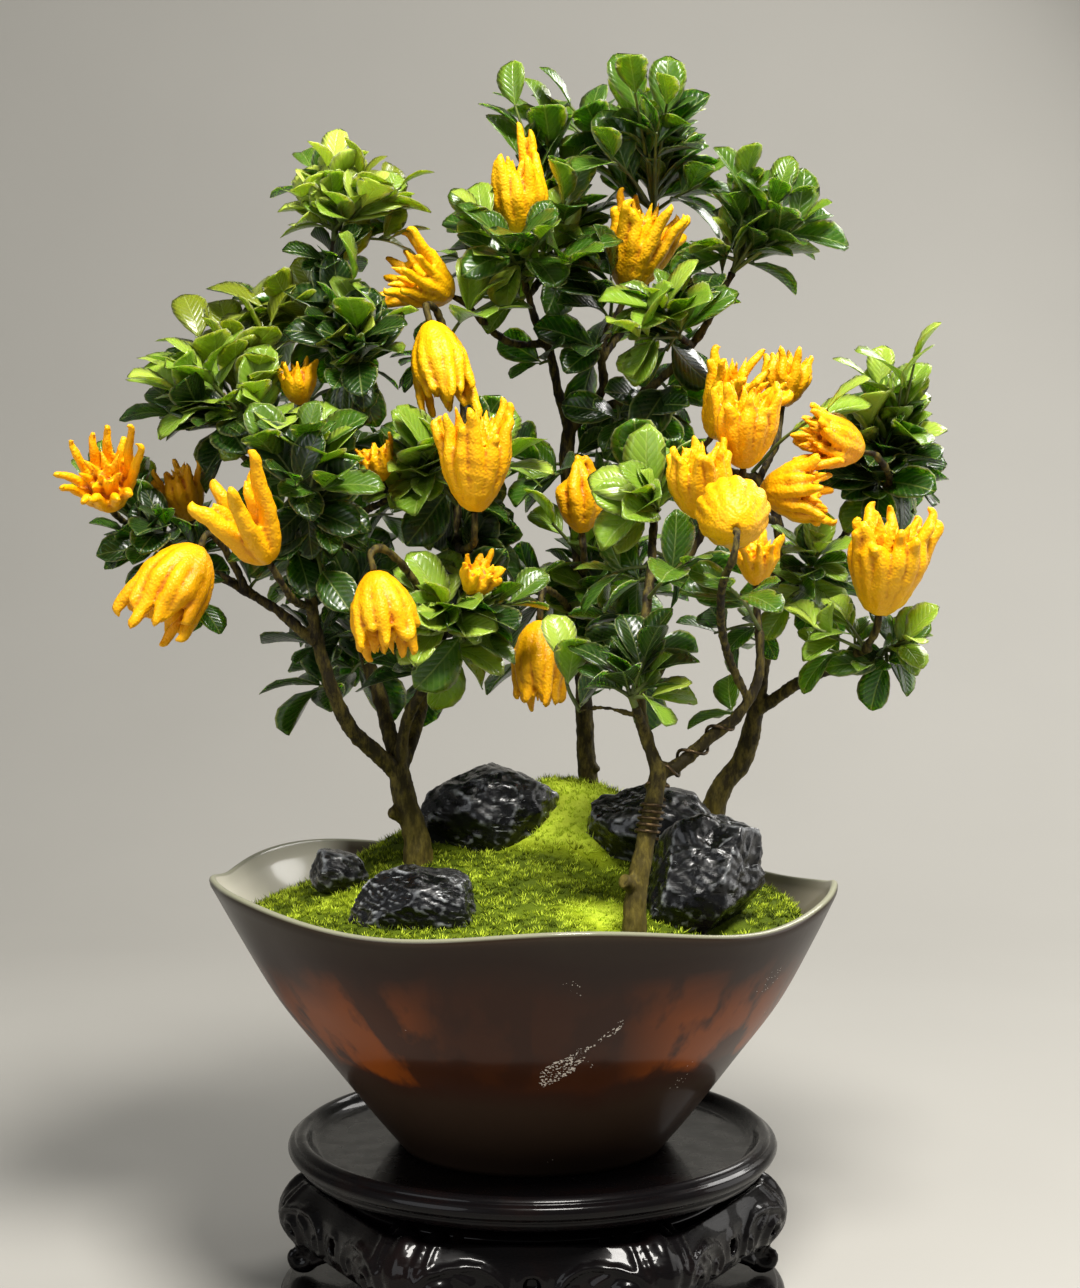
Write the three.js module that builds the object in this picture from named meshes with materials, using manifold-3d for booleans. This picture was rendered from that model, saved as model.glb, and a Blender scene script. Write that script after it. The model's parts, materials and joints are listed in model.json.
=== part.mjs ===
// A Buddha's hand citron trained as a bonsai: four trunks, fingered fruit and leafy sprays in a glazed
// pot that stands on a carved black stand.
// Millimetres, +Z up. The origin is the centre of the stand's underside, and the front looks along -Y.
import * as THREE from 'three';
import Module from 'manifold-3d';
import { mergeVertices } from 'three/addons/utils/BufferGeometryUtils.js';

const wasm = await Module();
wasm.setup();

// Driving dimensions
const SEAT_GAP = 0.3; // between a piece and the piece that carries it
const CUT_CLEARANCE = 0.45; // around what stands in a cut hole or socket
const STAND = {
  foot: 10, base: 74, neck: 88, floor: 105, lip: 114, trayRadius: 168, legRadius: 177, legs: 6,
};
const POT = { footRadius: 90, rimRadius: 210, height: 173, wall: 9, sides: 20, rimShift: -6, ruffle: 4.5 };
const MOSS = { thickness: 6, edgeRadius: 186, edgeHeight: 268, peak: 68, peakX: 25, peakY: 95 };
const DIPS = [[-28, 18, 18, 30], [58, -22, 22, 28], [112, -108, 10, 28]]; // before rocks: x, y, depth, radius
const ROOT_DEPTH = 30; // how far a trunk reaches below the moss
const LEAF = { length: 44, halfWidth: 0.26, fold: 0.28, droop: 0.16, thickness: 0.8, wideAt: 0.58 };
const TWIG = { radius: 2, tipRadius: 1.5, stemRadius: 2.6, stemLength: 10, endRoot: 2.5 };
const LEAF_STEP = 5; // one leaf in five along a twig is a solid here
const SHOOT_SKIP = 3; // each third shoot of a spray is too fine to be a solid here
const STALK_RADIUS = 2.6;
const WIRE_RADIUS = 1.1;
const SLIVER = 0.2; // corners closer than this to their face are dropped from a joined body

const vec = (x, y, z) => new THREE.Vector3(x, y, z);
const point = (row) => vec(row[0], row[1], row[2]);
const mix = THREE.MathUtils.lerp;
const TURN = Math.PI * 2;
const potFloor = STAND.floor + SEAT_GAP;

// A repeatable draw between 0 and 1 from three whole numbers
function draw(a, b, c) {
  const value = Math.sin(a * 12.9898 + b * 78.233 + c * 37.719) * 43758.5453;
  return value - Math.floor(value);
}

// Solids

function solidOf(geometry) {
  const bare = geometry.clone();
  bare.deleteAttribute('normal');
  bare.deleteAttribute('uv');
  const merged = mergeVertices(bare, 1e-4);
  return new wasm.Manifold(new wasm.Mesh({
    numProp: 3,
    vertProperties: new Float32Array(merged.attributes.position.array),
    triVerts: new Uint32Array(merged.index.array),
  }));
}

function geometryOf(solid) {
  const mesh = solid.getMesh();
  const geometry = new THREE.BufferGeometry();
  geometry.setAttribute('position', new THREE.BufferAttribute(new Float32Array(mesh.vertProperties), 3));
  geometry.setIndex(new THREE.BufferAttribute(new Uint32Array(mesh.triVerts), 1));
  return geometry;
}

function surface(vertices, faces) {
  const geometry = new THREE.BufferGeometry();
  const numbers = vertices.flatMap((v) => [v.x, v.y, v.z]);
  geometry.setAttribute('position', new THREE.Float32BufferAttribute(numbers, 3));
  geometry.setIndex(faces.flat());
  return geometry;
}

// A closed surface through rings of equal count; a ring of one point closes an end, else a flat fan does
function loft(rings) {
  const vertices = rings.flat();
  const faces = [];
  let start = 0;
  for (let k = 0; k + 1 < rings.length; k += 1) {
    const next = start + rings[k].length;
    const count = Math.max(rings[k].length, rings[k + 1].length);
    for (let i = 0; i < count; i += 1) {
      const j = (i + 1) % count;
      if (rings[k].length === 1) {
        faces.push([start, next + j, next + i]);
      } else if (rings[k + 1].length === 1) {
        faces.push([start + i, start + j, next]);
      } else {
        faces.push([start + i, start + j, next + j], [start + i, next + j, next + i]);
      }
    }
    start = next;
  }
  const first = rings[0].length;
  for (let i = 1; i + 1 < first; i += 1) {
    faces.push([0, i + 1, i]);
  }
  const last = rings[rings.length - 1].length;
  for (let i = 1; i + 1 < last; i += 1) {
    faces.push([start, start + i, start + i + 1]);
  }
  return surface(vertices, faces);
}

// Two directions square to an axis, the first as level as it can be
function squareTo(axis) {
  const helper = Math.abs(axis.z) > 0.95 ? vec(0, 1, 0) : vec(0, 0, 1);
  const across = new THREE.Vector3().crossVectors(helper, axis).normalize();
  const over = new THREE.Vector3().crossVectors(axis, across).normalize();
  return [across, over];
}

// A tapered bar through hand-set points, with flat ends square to it
function bar(points, startRadius, endRadius, sides) {
  const rings = [];
  let across = squareTo(points[1].clone().sub(points[0]).normalize())[0];
  points.forEach((centre, i) => {
    const before = points[Math.max(0, i - 1)];
    const after = points[Math.min(points.length - 1, i + 1)];
    const along = after.clone().sub(before).normalize();
    across = across.clone().addScaledVector(along, -across.dot(along)).normalize();
    const over = new THREE.Vector3().crossVectors(along, across);
    const radius = mix(startRadius, endRadius, i / (points.length - 1));
    rings.push(Array.from({ length: sides }, (_, k) => {
      const angle = (k / sides) * TURN;
      return centre.clone()
        .addScaledVector(across, Math.cos(angle) * radius)
        .addScaledVector(over, Math.sin(angle) * radius);
    }));
  });
  return loft(rings);
}

// A turned solid from a profile of [radius, height] that starts and ends on the axis
function turned(profile, sides) {
  const outline = profile.map(([radius, height]) => new THREE.Vector2(radius, height));
  const geometry = new THREE.LatheGeometry(outline, sides);
  geometry.rotateX(Math.PI / 2);
  return geometry;
}

// One body from pieces that run into each other, without the slivers of their joins
function joined(geometries) {
  return geometries.map(solidOf).reduce((whole, piece) => whole.add(piece)).simplify(SLIVER);
}

function ringAt(radius, height, sides, centreX = 0) {
  return Array.from({ length: sides }, (_, i) => {
    const angle = (i / sides) * TURN;
    return vec(centreX + Math.cos(angle) * radius, Math.sin(angle) * radius, height);
  });
}

// Stand: tray, neck, legs with their apron, and foot

function trayGeometry() {
  const { neck, floor, lip, trayRadius } = STAND;
  return turned([
    [0, neck], [trayRadius - 28, neck], [trayRadius - 8, neck + 4], [trayRadius - 1, neck + 10],
    [trayRadius, lip - 7], [trayRadius - 5, lip - 1], [trayRadius - 11, lip], [trayRadius - 15, lip - 4],
    [trayRadius - 21, floor], [0, floor],
  ], 20);
}

function neckGeometry() {
  const bottom = STAND.base + SEAT_GAP;
  const top = STAND.neck - SEAT_GAP;
  return turned([[0, bottom], [130, bottom], [136, bottom + 4], [132, bottom + 9], [116, top], [0, top]], 16);
}

function legGeometry(angle) {
  const out = vec(Math.cos(angle), Math.sin(angle), 0);
  const at = (radius, height) => vec(0, 0, height).addScaledVector(out, radius);
  const { legRadius, foot } = STAND;
  return bar([at(112, 51), at(157, 71), at(legRadius - 11, 58), at(160, 34), at(164, foot + 9)], 12, 8, 4);
}

// Apron: a bellied band that swells into the knee of each leg. Each row holds a height, the radius
// between the legs and the radius at a leg
const APRON = [
  [26, 122, 132], [33, 145, 158], [50, 153, 172], [66, 152, 172], [80, 146, 158], [STAND.base, 139, 140],
];
const APRON_SIDES = 24;

function apronGeometry() {
  const rings = APRON.map(([height, between, knee]) => (
    Array.from({ length: APRON_SIDES }, (_, i) => {
      const angle = (i / APRON_SIDES) * TURN;
      const lobe = ((1 + Math.cos(angle * STAND.legs)) / 2) ** 1.5;
      const radius = mix(between, knee, lobe);
      return vec(Math.cos(angle) * radius, Math.sin(angle) * radius, height);
    })));
  return loft([[vec(0, 0, APRON[0][0])], ...rings, [vec(0, 0, STAND.base)]]);
}

function carvedLegs() {
  const bottom = STAND.foot + SEAT_GAP;
  const core = turned([[0, bottom], [118, bottom], [118, 40], [0, 40]], 12);
  const legs = Array.from({ length: STAND.legs }, (_, i) => legGeometry((i / STAND.legs) * TURN));
  return joined([core, apronGeometry(), ...legs]);
}

function footGeometry() {
  return turned([[0, 0], [168, 0], [174, 4], [171, STAND.foot], [0, STAND.foot]], 20);
}

// Pot: a bowl whose wall ruffles into five lobes at the rim

function rimWave(angle) {
  const lobes = Math.cos(5 * (angle - THREE.MathUtils.degToRad(65)));
  return POT.ruffle * lobes + 4 * Math.cos(angle - THREE.MathUtils.degToRad(200)) + 1.5;
}

const potShare = (height) => Math.min(1.05, Math.max(0, (height - STAND.floor) / POT.height));
const rimShiftAt = (height) => POT.rimShift * potShare(height) ** 2;

function potPoint(radius, height, angle) {
  const ruffled = potShare(height) ** 4;
  const flare = 1 + 0.012 * ruffled * Math.cos(5 * angle);
  return vec(
    rimShiftAt(height) + Math.cos(angle) * radius * flare,
    Math.sin(angle) * radius * flare,
    height + rimWave(angle) * ruffled,
  );
}

function potRing(radius, height, sides = POT.sides) {
  return Array.from({ length: sides }, (_, i) => potPoint(radius, height, (i / sides) * TURN));
}

const POT_OUTSIDE = [
  [POT.footRadius, potFloor], [112, 132], [142, 171], [172, 210], [196, 251], [POT.rimRadius, 277],
];

function potGeometry() {
  const outside = POT_OUTSIDE.map(([radius, height]) => potRing(radius, height));
  const inside = [...POT_OUTSIDE].reverse().slice(1, -1)
    .map(([radius, height]) => potRing(radius - POT.wall, height + 2));
  const rim = [potRing(POT.rimRadius - 6, 280)];
  const floor = potRing(80, potFloor + 12);
  return loft([[vec(0, 0, potFloor)], ...outside, ...rim, ...inside, floor, [vec(0, 0, potFloor + 12)]]);
}

// Inner radius of the pot at a height, between the points of its profile
function potInside(height) {
  for (let i = 0; i + 1 < POT_OUTSIDE.length; i += 1) {
    const [lowRadius, low] = POT_OUTSIDE[i];
    const [highRadius, high] = POT_OUTSIDE[i + 1];
    if (height < high) {
      return mix(lowRadius, highRadius, (height - low) / (high - low)) - POT.wall;
    }
  }
  return POT.rimRadius - POT.wall;
}

// Soil and moss: one mound, highest behind the middle

function moundHeight(x, y) {
  const dx = x - MOSS.peakX;
  const dy = y - MOSS.peakY;
  const spreadX = dx > 0 ? 70 : 110;
  const spreadY = dy > 0 ? 75 : 95;
  const share = Math.exp(-(dx * dx) / (2 * spreadX * spreadX) - (dy * dy) / (2 * spreadY * spreadY));
  const inward = Math.max(0, 1 - (x * x + y * y) / (MOSS.edgeRadius * MOSS.edgeRadius));
  const dips = DIPS.map(([dipX, dipY, depth, radius]) => (
    depth * Math.exp(-((x - dipX) ** 2 + (y - dipY) ** 2) / (2 * radius * radius))));
  const sunk = dips.reduce((sum, depth) => sum + depth, 0);
  return MOSS.edgeHeight + MOSS.peak * share * Math.min(1, inward * 1.6) + 10 * inward - sunk;
}

const MOUND_SIDES = 12;

function moundRings(sink, edge) {
  const level = (share) => ringAt(MOSS.edgeRadius * share, 0, MOUND_SIDES, POT.rimShift);
  return [edge, 0.72, 0.4].map((share) => level(share).map((p) => p.setZ(moundHeight(p.x, p.y) - sink)));
}

function soilGeometry() {
  const top = moundRings(MOSS.thickness + SEAT_GAP, 1);
  const bottom = potFloor + 12 + SEAT_GAP;
  const side = (height) => (
    ringAt(potInside(height) - 5, height, MOUND_SIDES, rimShiftAt(height)));
  const low = [ringAt(74, bottom, MOUND_SIDES), side(171), side(238)];
  const crown = vec(POT.rimShift, 0, moundHeight(POT.rimShift, 0) - MOSS.thickness - SEAT_GAP);
  return loft([[vec(0, 0, bottom)], ...low, ...top, [crown]]);
}

// The carpet has the same facets above and below, so that it lies evenly on the soil
function mossGeometry() {
  const crown = vec(POT.rimShift, 0, moundHeight(POT.rimShift, 0));
  const top = loft([...moundRings(0, 1), [crown]]);
  const place = top.attributes.position;
  const placeAt = (i) => vec(place.getX(i), place.getY(i), place.getZ(i));
  const over = Array.from({ length: place.count }, (_, i) => placeAt(i));
  const under = over.map((p) => p.clone().add(vec(0, 0, -MOSS.thickness)));
  const faces = [];
  for (let i = 0; i < top.index.count; i += 3) {
    const [a, b, c] = [0, 1, 2].map((k) => top.index.getX(i + k));
    const isCap = Math.max(a, b, c) < MOUND_SIDES;
    if (!isCap) {
      faces.push([a, b, c], [a + place.count, c + place.count, b + place.count]);
    }
  }
  for (let i = 0; i < MOUND_SIDES; i += 1) {
    const j = (i + 1) % MOUND_SIDES;
    faces.push([i + place.count, j + place.count, j], [i + place.count, j, i]);
  }
  return surface([...over, ...under], faces);
}

// Rocks: rough lumps, half sunk in the mound. Each row holds a centre, half sizes and a lean
const ROCKS = [
  { name: 'rock_back_left', centre: [-35, 58, 328], half: [49, 31, 36], lean: 0.25 },
  { name: 'rock_small_left', centre: [-131, -20, 292], half: [20, 16, 19], lean: -0.2 },
  { name: 'rock_front_left', centre: [-73, -95, 288], half: [43, 27, 26], lean: 0.1 },
  { name: 'rock_back_right', centre: [86, 18, 315], half: [50, 30, 35], lean: -0.2 },
  { name: 'rock_front_right', centre: [111, -70, 299], half: [40, 28, 45], lean: 0.25 },
];

function rockGeometry(rock, index, grow = 0) {
  const ball = new THREE.SphereGeometry(1, 7, 5).deleteAttribute('normal').deleteAttribute('uv');
  const geometry = mergeVertices(ball);
  const place = geometry.attributes.position;
  const [halfX, halfY, halfZ] = rock.half;
  for (let i = 0; i < place.count; i += 1) {
    const rough = 0.86 + 0.22 * draw(index, i, 3);
    const p = vec(place.getX(i), place.getY(i), place.getZ(i)).multiplyScalar(rough);
    p.set(p.x * (halfX + grow), p.y * (halfY + grow), p.z * (halfZ + grow));
    p.x += rock.lean * p.z;
    place.setXYZ(i, p.x + rock.centre[0], p.y + rock.centre[1], p.z + rock.centre[2]);
  }
  return geometry;
}

// Fruits. Each row holds its stalk end, the middle of its finger tips, its radius, how many fingers it
// has and how far they spread; long is the share that one finger stands out beyond the others. The stalk
// is a way from the wood that carries it
const FRUITS = [
  {
    base: [-277, -40, 541], tip: [-277, -86, 569], radius: 17, fingers: 6, spread: 0.8, long: 0.4,
    wood: 'wood_left', stalk: [[-205, -25, 492], [-244, -2, 508], [-270, -8, 526]],
  },
  {
    base: [-217, -60, 513], tip: [-248, -78, 462], radius: 25, fingers: 6, spread: 0.15, long: 0.1,
    wood: 'wood_left', stalk: [[-190, -33, 484], [-200, -44, 508]],
  },
  {
    base: [-166, -108, 506], tip: [-190, -132, 556], radius: 19, fingers: 5, spread: 0.55, long: 0.2,
    wood: 'wood_left', stalk: [[-145, -46, 474], [-153, -85, 480]],
  },
  {
    base: [-232, 4, 531], tip: [-243, -1, 569], radius: 15, fingers: 5, spread: 0.3, long: 0.1,
    wood: 'wood_left', stalk: [[-211, -22, 495], [-222, -4, 506]],
  },
  {
    base: [-206, 45, 588], tip: [-212, 38, 622], radius: 14, fingers: 5, spread: 0.3, long: 0.1,
    wood: 'wood_left', stalk: [[-152, 13, 566], [-184, 36, 568]],
  },
  {
    base: [-155, -22, 608], tip: [-157, -26, 637], radius: 12, fingers: 5, spread: 0.4, long: 0.1,
    wood: 'wood_left', stalk: [[-148, 14, 562], [-153, -14, 586]],
  },
  {
    base: [-56, 40, 686], tip: [-96, 22, 706], radius: 19, fingers: 6, spread: 0.6, long: 0.2,
    wood: 'wood_middle', stalk: [[10, 65, 655], [-16, 52, 655], [-36, 46, 670]],
  },
  {
    base: [-69, -5, 664], tip: [-55, -20, 606], radius: 20, fingers: 6, spread: 0.15, long: 0.2,
    wood: 'wood_left', stalk: [[-56, 27, 648], [-66, 18, 674]],
  },
  {
    base: [-37, -80, 537], tip: [-36, -86, 603], radius: 22, fingers: 6, spread: 0.35, long: 0.1,
    wood: 'wood_left', stalk: [[-54, 16, 522], [-48, -32, 512], [-38, -68, 516]],
  },
  {
    base: [-100, -30, 557], tip: [-107, -36, 583], radius: 12, fingers: 5, spread: 0.3, long: 0.1,
    wood: 'wood_left', stalk: [[-127, 20, 530], [-112, -10, 538]],
  },
  {
    base: [-99, -112, 499], tip: [-88, -122, 447], radius: 21, fingers: 6, spread: 0.2, long: 0.1,
    wood: 'wood_left', stalk: [[-63, -40, 443], [-74, -72, 488], [-92, -100, 512]],
  },
  {
    base: [-40, -66, 484], tip: [-30, -80, 504], radius: 12, fingers: 5, spread: 0.4, long: 0.1,
    wood: 'wood_left', stalk: [[-68, 27, 450], [-50, -20, 458]],
  },
  {
    base: [-8, 60, 728], tip: [-12, 54, 786], radius: 21, fingers: 6, spread: 0.05, long: 0.35,
    wood: 'wood_middle', stalk: [[-5, 60, 690]],
  },
  {
    base: [65, 60, 691], tip: [85, 50, 752], radius: 22, fingers: 6, spread: 0.5, long: 0.1,
    wood: 'wood_middle', stalk: [[52, 66, 660]],
  },
  {
    base: [34, 14, 523], tip: [31, 10, 574], radius: 18, fingers: 4, spread: 0, long: 0.1,
    wood: 'wood_middle', stalk: [[34, 86, 498], [36, 44, 496]],
  },
  {
    base: [5, 0, 463], tip: [4, -6, 407], radius: 19, fingers: 6, spread: 0.12, long: 0.1,
    wood: 'wood_middle', stalk: [[35, 97, 437], [24, 60, 470], [9, 14, 484]],
  },
  {
    base: [122, 10, 588], tip: [149, -10, 634], radius: 20, fingers: 6, spread: 0.45, long: 0.1,
    wood: 'wood_back_right', stalk: [[153, 22, 560], [130, 19, 567]],
  },
  {
    base: [174, 45, 611], tip: [179, 44, 650], radius: 17, fingers: 5, spread: 0.3, long: 0.1,
    wood: 'wood_back_right', stalk: [[155, 22, 558], [168, 38, 582]],
  },
  {
    base: [136, -72, 565], tip: [139, -80, 619], radius: 20, fingers: 6, spread: 0.3, long: 0.1,
    wood: 'wood_back_right', stalk: [[163, 24, 545], [148, -25, 539], [137, -60, 543]],
  },
  {
    base: [220, -20, 577], tip: [180, -34, 589], radius: 18, fingers: 6, spread: 0.35, long: 0.1,
    wood: 'wood_back_right', stalk: [[229, 54, 535], [244, 16, 556]],
  },
  {
    base: [107, -92, 533], tip: [105, -100, 580], radius: 20, fingers: 6, spread: 0.3, long: 0.1,
    wood: 'wood_front_right', stalk: [[75, -86, 494], [94, -88, 502]],
  },
  {
    base: [122, -178, 526], tip: [123, -126, 547], radius: 23, fingers: 7, spread: 0.05, long: 0.05,
    wood: 'wood_front_right',
    stalk: [[136, -111, 418], [119, -138, 455], [114, -172, 488], [119, -190, 508]],
  },
  {
    base: [151, -44, 550], tip: [194, -58, 551], radius: 19, fingers: 6, spread: 0.3, long: 0.1,
    wood: 'wood_back_right', stalk: [[168, 26, 530], [154, -10, 535]],
  },
  {
    base: [142, -104, 491], tip: [141, -112, 524], radius: 13, fingers: 5, spread: 0.6, long: 0.1,
    wood: 'wood_front_right', stalk: [[144, -107, 455]],
  },
  {
    base: [226, -60, 470], tip: [235, -68, 536], radius: 24, fingers: 7, spread: 0.45, long: 0.1,
    wood: 'wood_back_right', stalk: [[220, -43, 446]],
  },
];

function fruitAxes(fruit) {
  const base = point(fruit.base);
  const reach = point(fruit.tip).sub(base);
  const length = reach.length();
  const along = reach.normalize();
  const [across, over] = squareTo(along);
  return { base, along, across, over, length };
}

function fruitGeometry(fruit, index) {
  const { base, along, across, over, length } = fruitAxes(fruit);
  const { radius, fingers, spread } = fruit;
  const at = (angle, out, up) => base.clone().addScaledVector(along, up * length)
    .addScaledVector(across, Math.cos(angle) * out).addScaledVector(over, Math.sin(angle) * out);
  const sector = TURN / fingers;
  const turn = draw(index, 0, 5) * sector;
  const ribAngle = (k, way) => turn + k * sector + way * sector * 0.4;
  const ring = (out, up) => Array.from({ length: fingers * 2 }, (_, i) => (
    at(ribAngle(Math.floor(i / 2), i % 2 ? 1 : -1), out, up)));
  const vertices = [];
  const faces = [];
  const add = (points) => {
    const first = vertices.length;
    vertices.push(...points);
    return first;
  };
  const count = fingers * 2;
  const band = (low, high) => {
    for (let i = 0; i < count; i += 1) {
      const j = (i + 1) % count;
      faces.push([low + i, low + j, high + j], [low + i, high + j, high + i]);
    }
  };
  const bottom = add(ring(5, 0));
  for (let i = 1; i + 1 < count; i += 1) {
    faces.push([bottom, bottom + i + 1, bottom + i]);
  }
  const wide = add(ring(radius, 0.3));
  const shoulder = add(ring(radius * (0.9 + 0.15 * spread), 0.54));
  band(bottom, wide);
  band(wide, shoulder);
  const inner = add(Array.from({ length: fingers }, (_, k) => at(ribAngle(k, 0), radius * 0.34, 0.5)));
  const floor = add([at(0, 0, 0.47)]);
  for (let k = 0; k < fingers; k += 1) {
    faces.push([inner + k, inner + ((k + 1) % fingers), floor]);
  }
  const quad = (a, b, c, d) => faces.push([a, b, c], [a, c, d]);
  for (let k = 0; k < fingers; k += 1) {
    const left = 2 * k;
    const right = 2 * k + 1;
    const next = (2 * k + 2) % count;
    quad(shoulder + right, shoulder + next, inner + ((k + 1) % fingers), inner + k);
    const extra = k === 0 ? fruit.long : 0;
    const reach = 0.9 + 0.14 * draw(index, k, 7) + extra;
    const middleOut = radius * (0.66 + 0.75 * spread);
    const endOut = radius * (0.42 + 1.25 * spread);
    const section = (out, up, share, deep) => {
      const half = Math.min(0.36 * sector, (radius * share) / out);
      const angle = ribAngle(k, 0);
      return add([
        at(angle - half, out + deep, up), at(angle + half, out + deep, up), at(angle, out - deep, up),
      ]);
    };
    const middle = section(middleOut, mix(0.54, reach, 0.5), 0.3, radius * 0.2);
    const end = section(endOut, reach, 0.16, radius * 0.1);
    const rootRing = [shoulder + left, shoulder + right, inner + k];
    [[rootRing, middle], [[middle, middle + 1, middle + 2], end]].forEach(([from, to]) => {
      for (let i = 0; i < 3; i += 1) {
        const j = (i + 1) % 3;
        quad(from[i], from[j], to + j, to + i);
      }
    });
    faces.push([end, end + 1, end + 2]);
  }
  return surface(vertices, faces);
}

// Wood. A limb is a list of points with its start and end radius; the first limb of a trunk is its foot
const WOOD = {
  wood_left: {
    foot: [-78, -5],
    trunk: { points: [[-78, -5, 301], [-80, -5, 318], [-87, -5, 341], [-92, -5, 366]], radii: [9, 7.2] },
    limbs: [
      {
        points: [
          [-90, -5, 358], [-109, -15, 377], [-122, -25, 392], [-133, -35, 418], [-142, -42, 452],
          [-147, -52, 489],
        ],
        radii: [6.2, 4],
      },
      {
        points: [
          [-143, -44, 450], [-172, -42, 474], [-211, -22, 495], [-240, -16, 512],
        ],
        radii: [3.8, 2.8], seats: 'far_left',
      },
      {
        points: [
          [-146, -50, 482], [-153, -50, 516], [-150, -56, 539],
        ],
        radii: [3.6, 2.8], seats: 'left_crown',
      },
      {
        points: [
          [-91, -5, 360], [-104, 12, 406], [-118, 22, 449], [-126, 22, 504], [-129, 16, 559],
          [-134, 14, 613], [-137, 22, 680], [-136, 28, 722],
        ],
        radii: [5.6, 2.8], seats: 'left_top',
      },
      {
        points: [
          [-127, 18, 540], [-157, 12, 572], [-186, -10, 594],
        ],
        radii: [3.4, 2.8], seats: 'far_left_high',
      },
      { points: [[-133, 14, 602], [-122, -5, 630]], radii: [3.2, 2.8], seats: 'left_column' },
      {
        points: [
          [-91, -5, 360], [-86, -6, 394], [-74, -20, 417], [-62, -42, 445], [-57, -54, 462],
        ],
        radii: [4.6, 2.8], seats: 'left_low',
      },
      {
        points: [
          [-91, -5, 358], [-82, 8, 383], [-73, 24, 419], [-63, 28, 476], [-53, 14, 531],
          [-48, 14, 586], [-48, 28, 620], [-58, 26, 655],
        ],
        radii: [5, 2.8],
      },
      { points: [[-51, 14, 545], [-62, -14, 557]], radii: [3.2, 2.8], seats: 'centre_left' },
      { points: [[-82, -5, 326], [-97, -12, 334]], radii: [5.5, 4.5] },
    ],
  },
  wood_middle: {
    foot: [42, 105],
    trunk: {
      points: [
        [42, 105, 330], [39, 105, 356], [37, 105, 398], [35, 94, 459],
        [33, 84, 517], [24, 76, 571], [27, 74, 602],
      ],
      radii: [6.2, 4.8],
    },
    limbs: [
      {
        points: [
          [26, 74, 594], [18, 70, 622], [12, 66, 649], [3, 62, 668], [-6, 60, 699],
        ],
        radii: [4, 2.8],
      },
      { points: [[-4, 61, 688], [14, 78, 711]], radii: [3.2, 2.8], seats: 'top_left' },
      {
        points: [
          [26, 74, 595], [43, 74, 613], [50, 72, 627], [48, 68, 651], [54, 64, 668],
        ],
        radii: [4, 2.8],
      },
      {
        points: [
          [49, 69, 645], [76, 90, 688], [88, 98, 728], [87, 100, 752],
        ],
        radii: [3.4, 2.8], seats: 'top_right',
      },
      {
        points: [
          [40, 74, 609], [67, 66, 616], [89, 56, 629], [112, 46, 654], [127, 40, 680],
          [138, 38, 702],
        ],
        radii: [3.6, 2.8], seats: 'right_high',
      },
      { points: [[110, 47, 652], [101, 26, 657]], radii: [3.2, 2.8], seats: 'centre' },
      { points: [[35, 95, 452], [50, 84, 468]], radii: [3.4, 2.8], seats: 'middle' },
      { points: [[40, 105, 345], [47, 100, 352]], radii: [4, 3.4] },
    ],
  },
  wood_front_right: {
    foot: [64, -135],
    trunk: {
      points: [[64, -135, 284], [67, -132, 310], [71, -129, 331], [76, -125, 355], [81, -120, 380]],
      radii: [7.2, 5.8],
    },
    limbs: [
      {
        points: [
          [80, -120, 372], [69, -116, 405], [67, -110, 432], [70, -102, 455], [76, -84, 499],
          [79, -66, 535],
        ],
        radii: [4.6, 2.8], seats: 'middle_right',
      },
      { points: [[68, -115, 408], [46, -110, 413], [30, -106, 411]], radii: [1.8, 1.2] },
      {
        points: [
          [79, -120, 372], [92, -118, 378], [111, -116, 394], [131, -112, 410], [143, -110, 433],
          [144, -107, 462],
        ],
        radii: [4.8, 3],
      },
      { points: [[72, -117, 396], [64, -132, 416]], radii: [3.2, 2.8], seats: 'low_front' },
      { points: [[66, -133, 302], [57, -141, 308]], radii: [6, 5] },
    ],
  },
  wood_back_right: {
    foot: [130, 80],
    trunk: {
      points: [
        [130, 80, 300], [130, 80, 324], [137, 80, 341], [150, 80, 358],
        [156, 76, 379], [160, 70, 401],
      ],
      radii: [7.8, 6],
    },
    limbs: [
      {
        points: [
          [159, 71, 394], [186, 50, 416], [205, 18, 429], [214, -20, 440], [222, -48, 447],
        ],
        radii: [4.8, 3],
      },
      { points: [[207, 10, 431], [232, -6, 441]], radii: [3.2, 2.8], seats: 'right_low' },
      {
        points: [
          [160, 71, 394], [165, 62, 439], [169, 44, 482], [171, 28, 517], [164, 24, 545],
          [151, 22, 564],
        ],
        radii: [5, 3],
      },
      {
        points: [
          [167, 52, 466], [205, 60, 500], [231, 54, 538], [241, 48, 557],
        ],
        radii: [3.6, 2.8], seats: 'right_top',
      },
      { points: [[170, 40, 490], [184, 20, 495]], radii: [3.2, 2.8], seats: 'right_middle' },
    ],
  },
};

function stalkGeometry(fruit) {
  const { base, along } = fruitAxes(fruit);
  const points = fruit.stalk.map(point);
  points.push(base.clone().addScaledVector(along, -12), base.clone().addScaledVector(along, -SEAT_GAP));
  return bar(points, STALK_RADIUS, STALK_RADIUS, 3);
}

function footPoints(wood) {
  const [x, y] = wood.foot;
  return [vec(x, y, moundHeight(x, y) - MOSS.thickness - ROOT_DEPTH), ...wood.trunk.points.map(point)];
}

function woodSolid(name) {
  const wood = WOOD[name];
  const trunk = bar(footPoints(wood), wood.trunk.radii[0], wood.trunk.radii[1], 5);
  const limbs = wood.limbs.map(({ points, radii }) => (
    bar(points.map(point), radii[0], radii[1], radii[0] > 3.9 ? 4 : 3)));
  const stalks = FRUITS.filter((fruit) => fruit.wood === name).map(stalkGeometry);
  return joined([trunk, ...limbs, ...stalks]);
}

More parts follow.
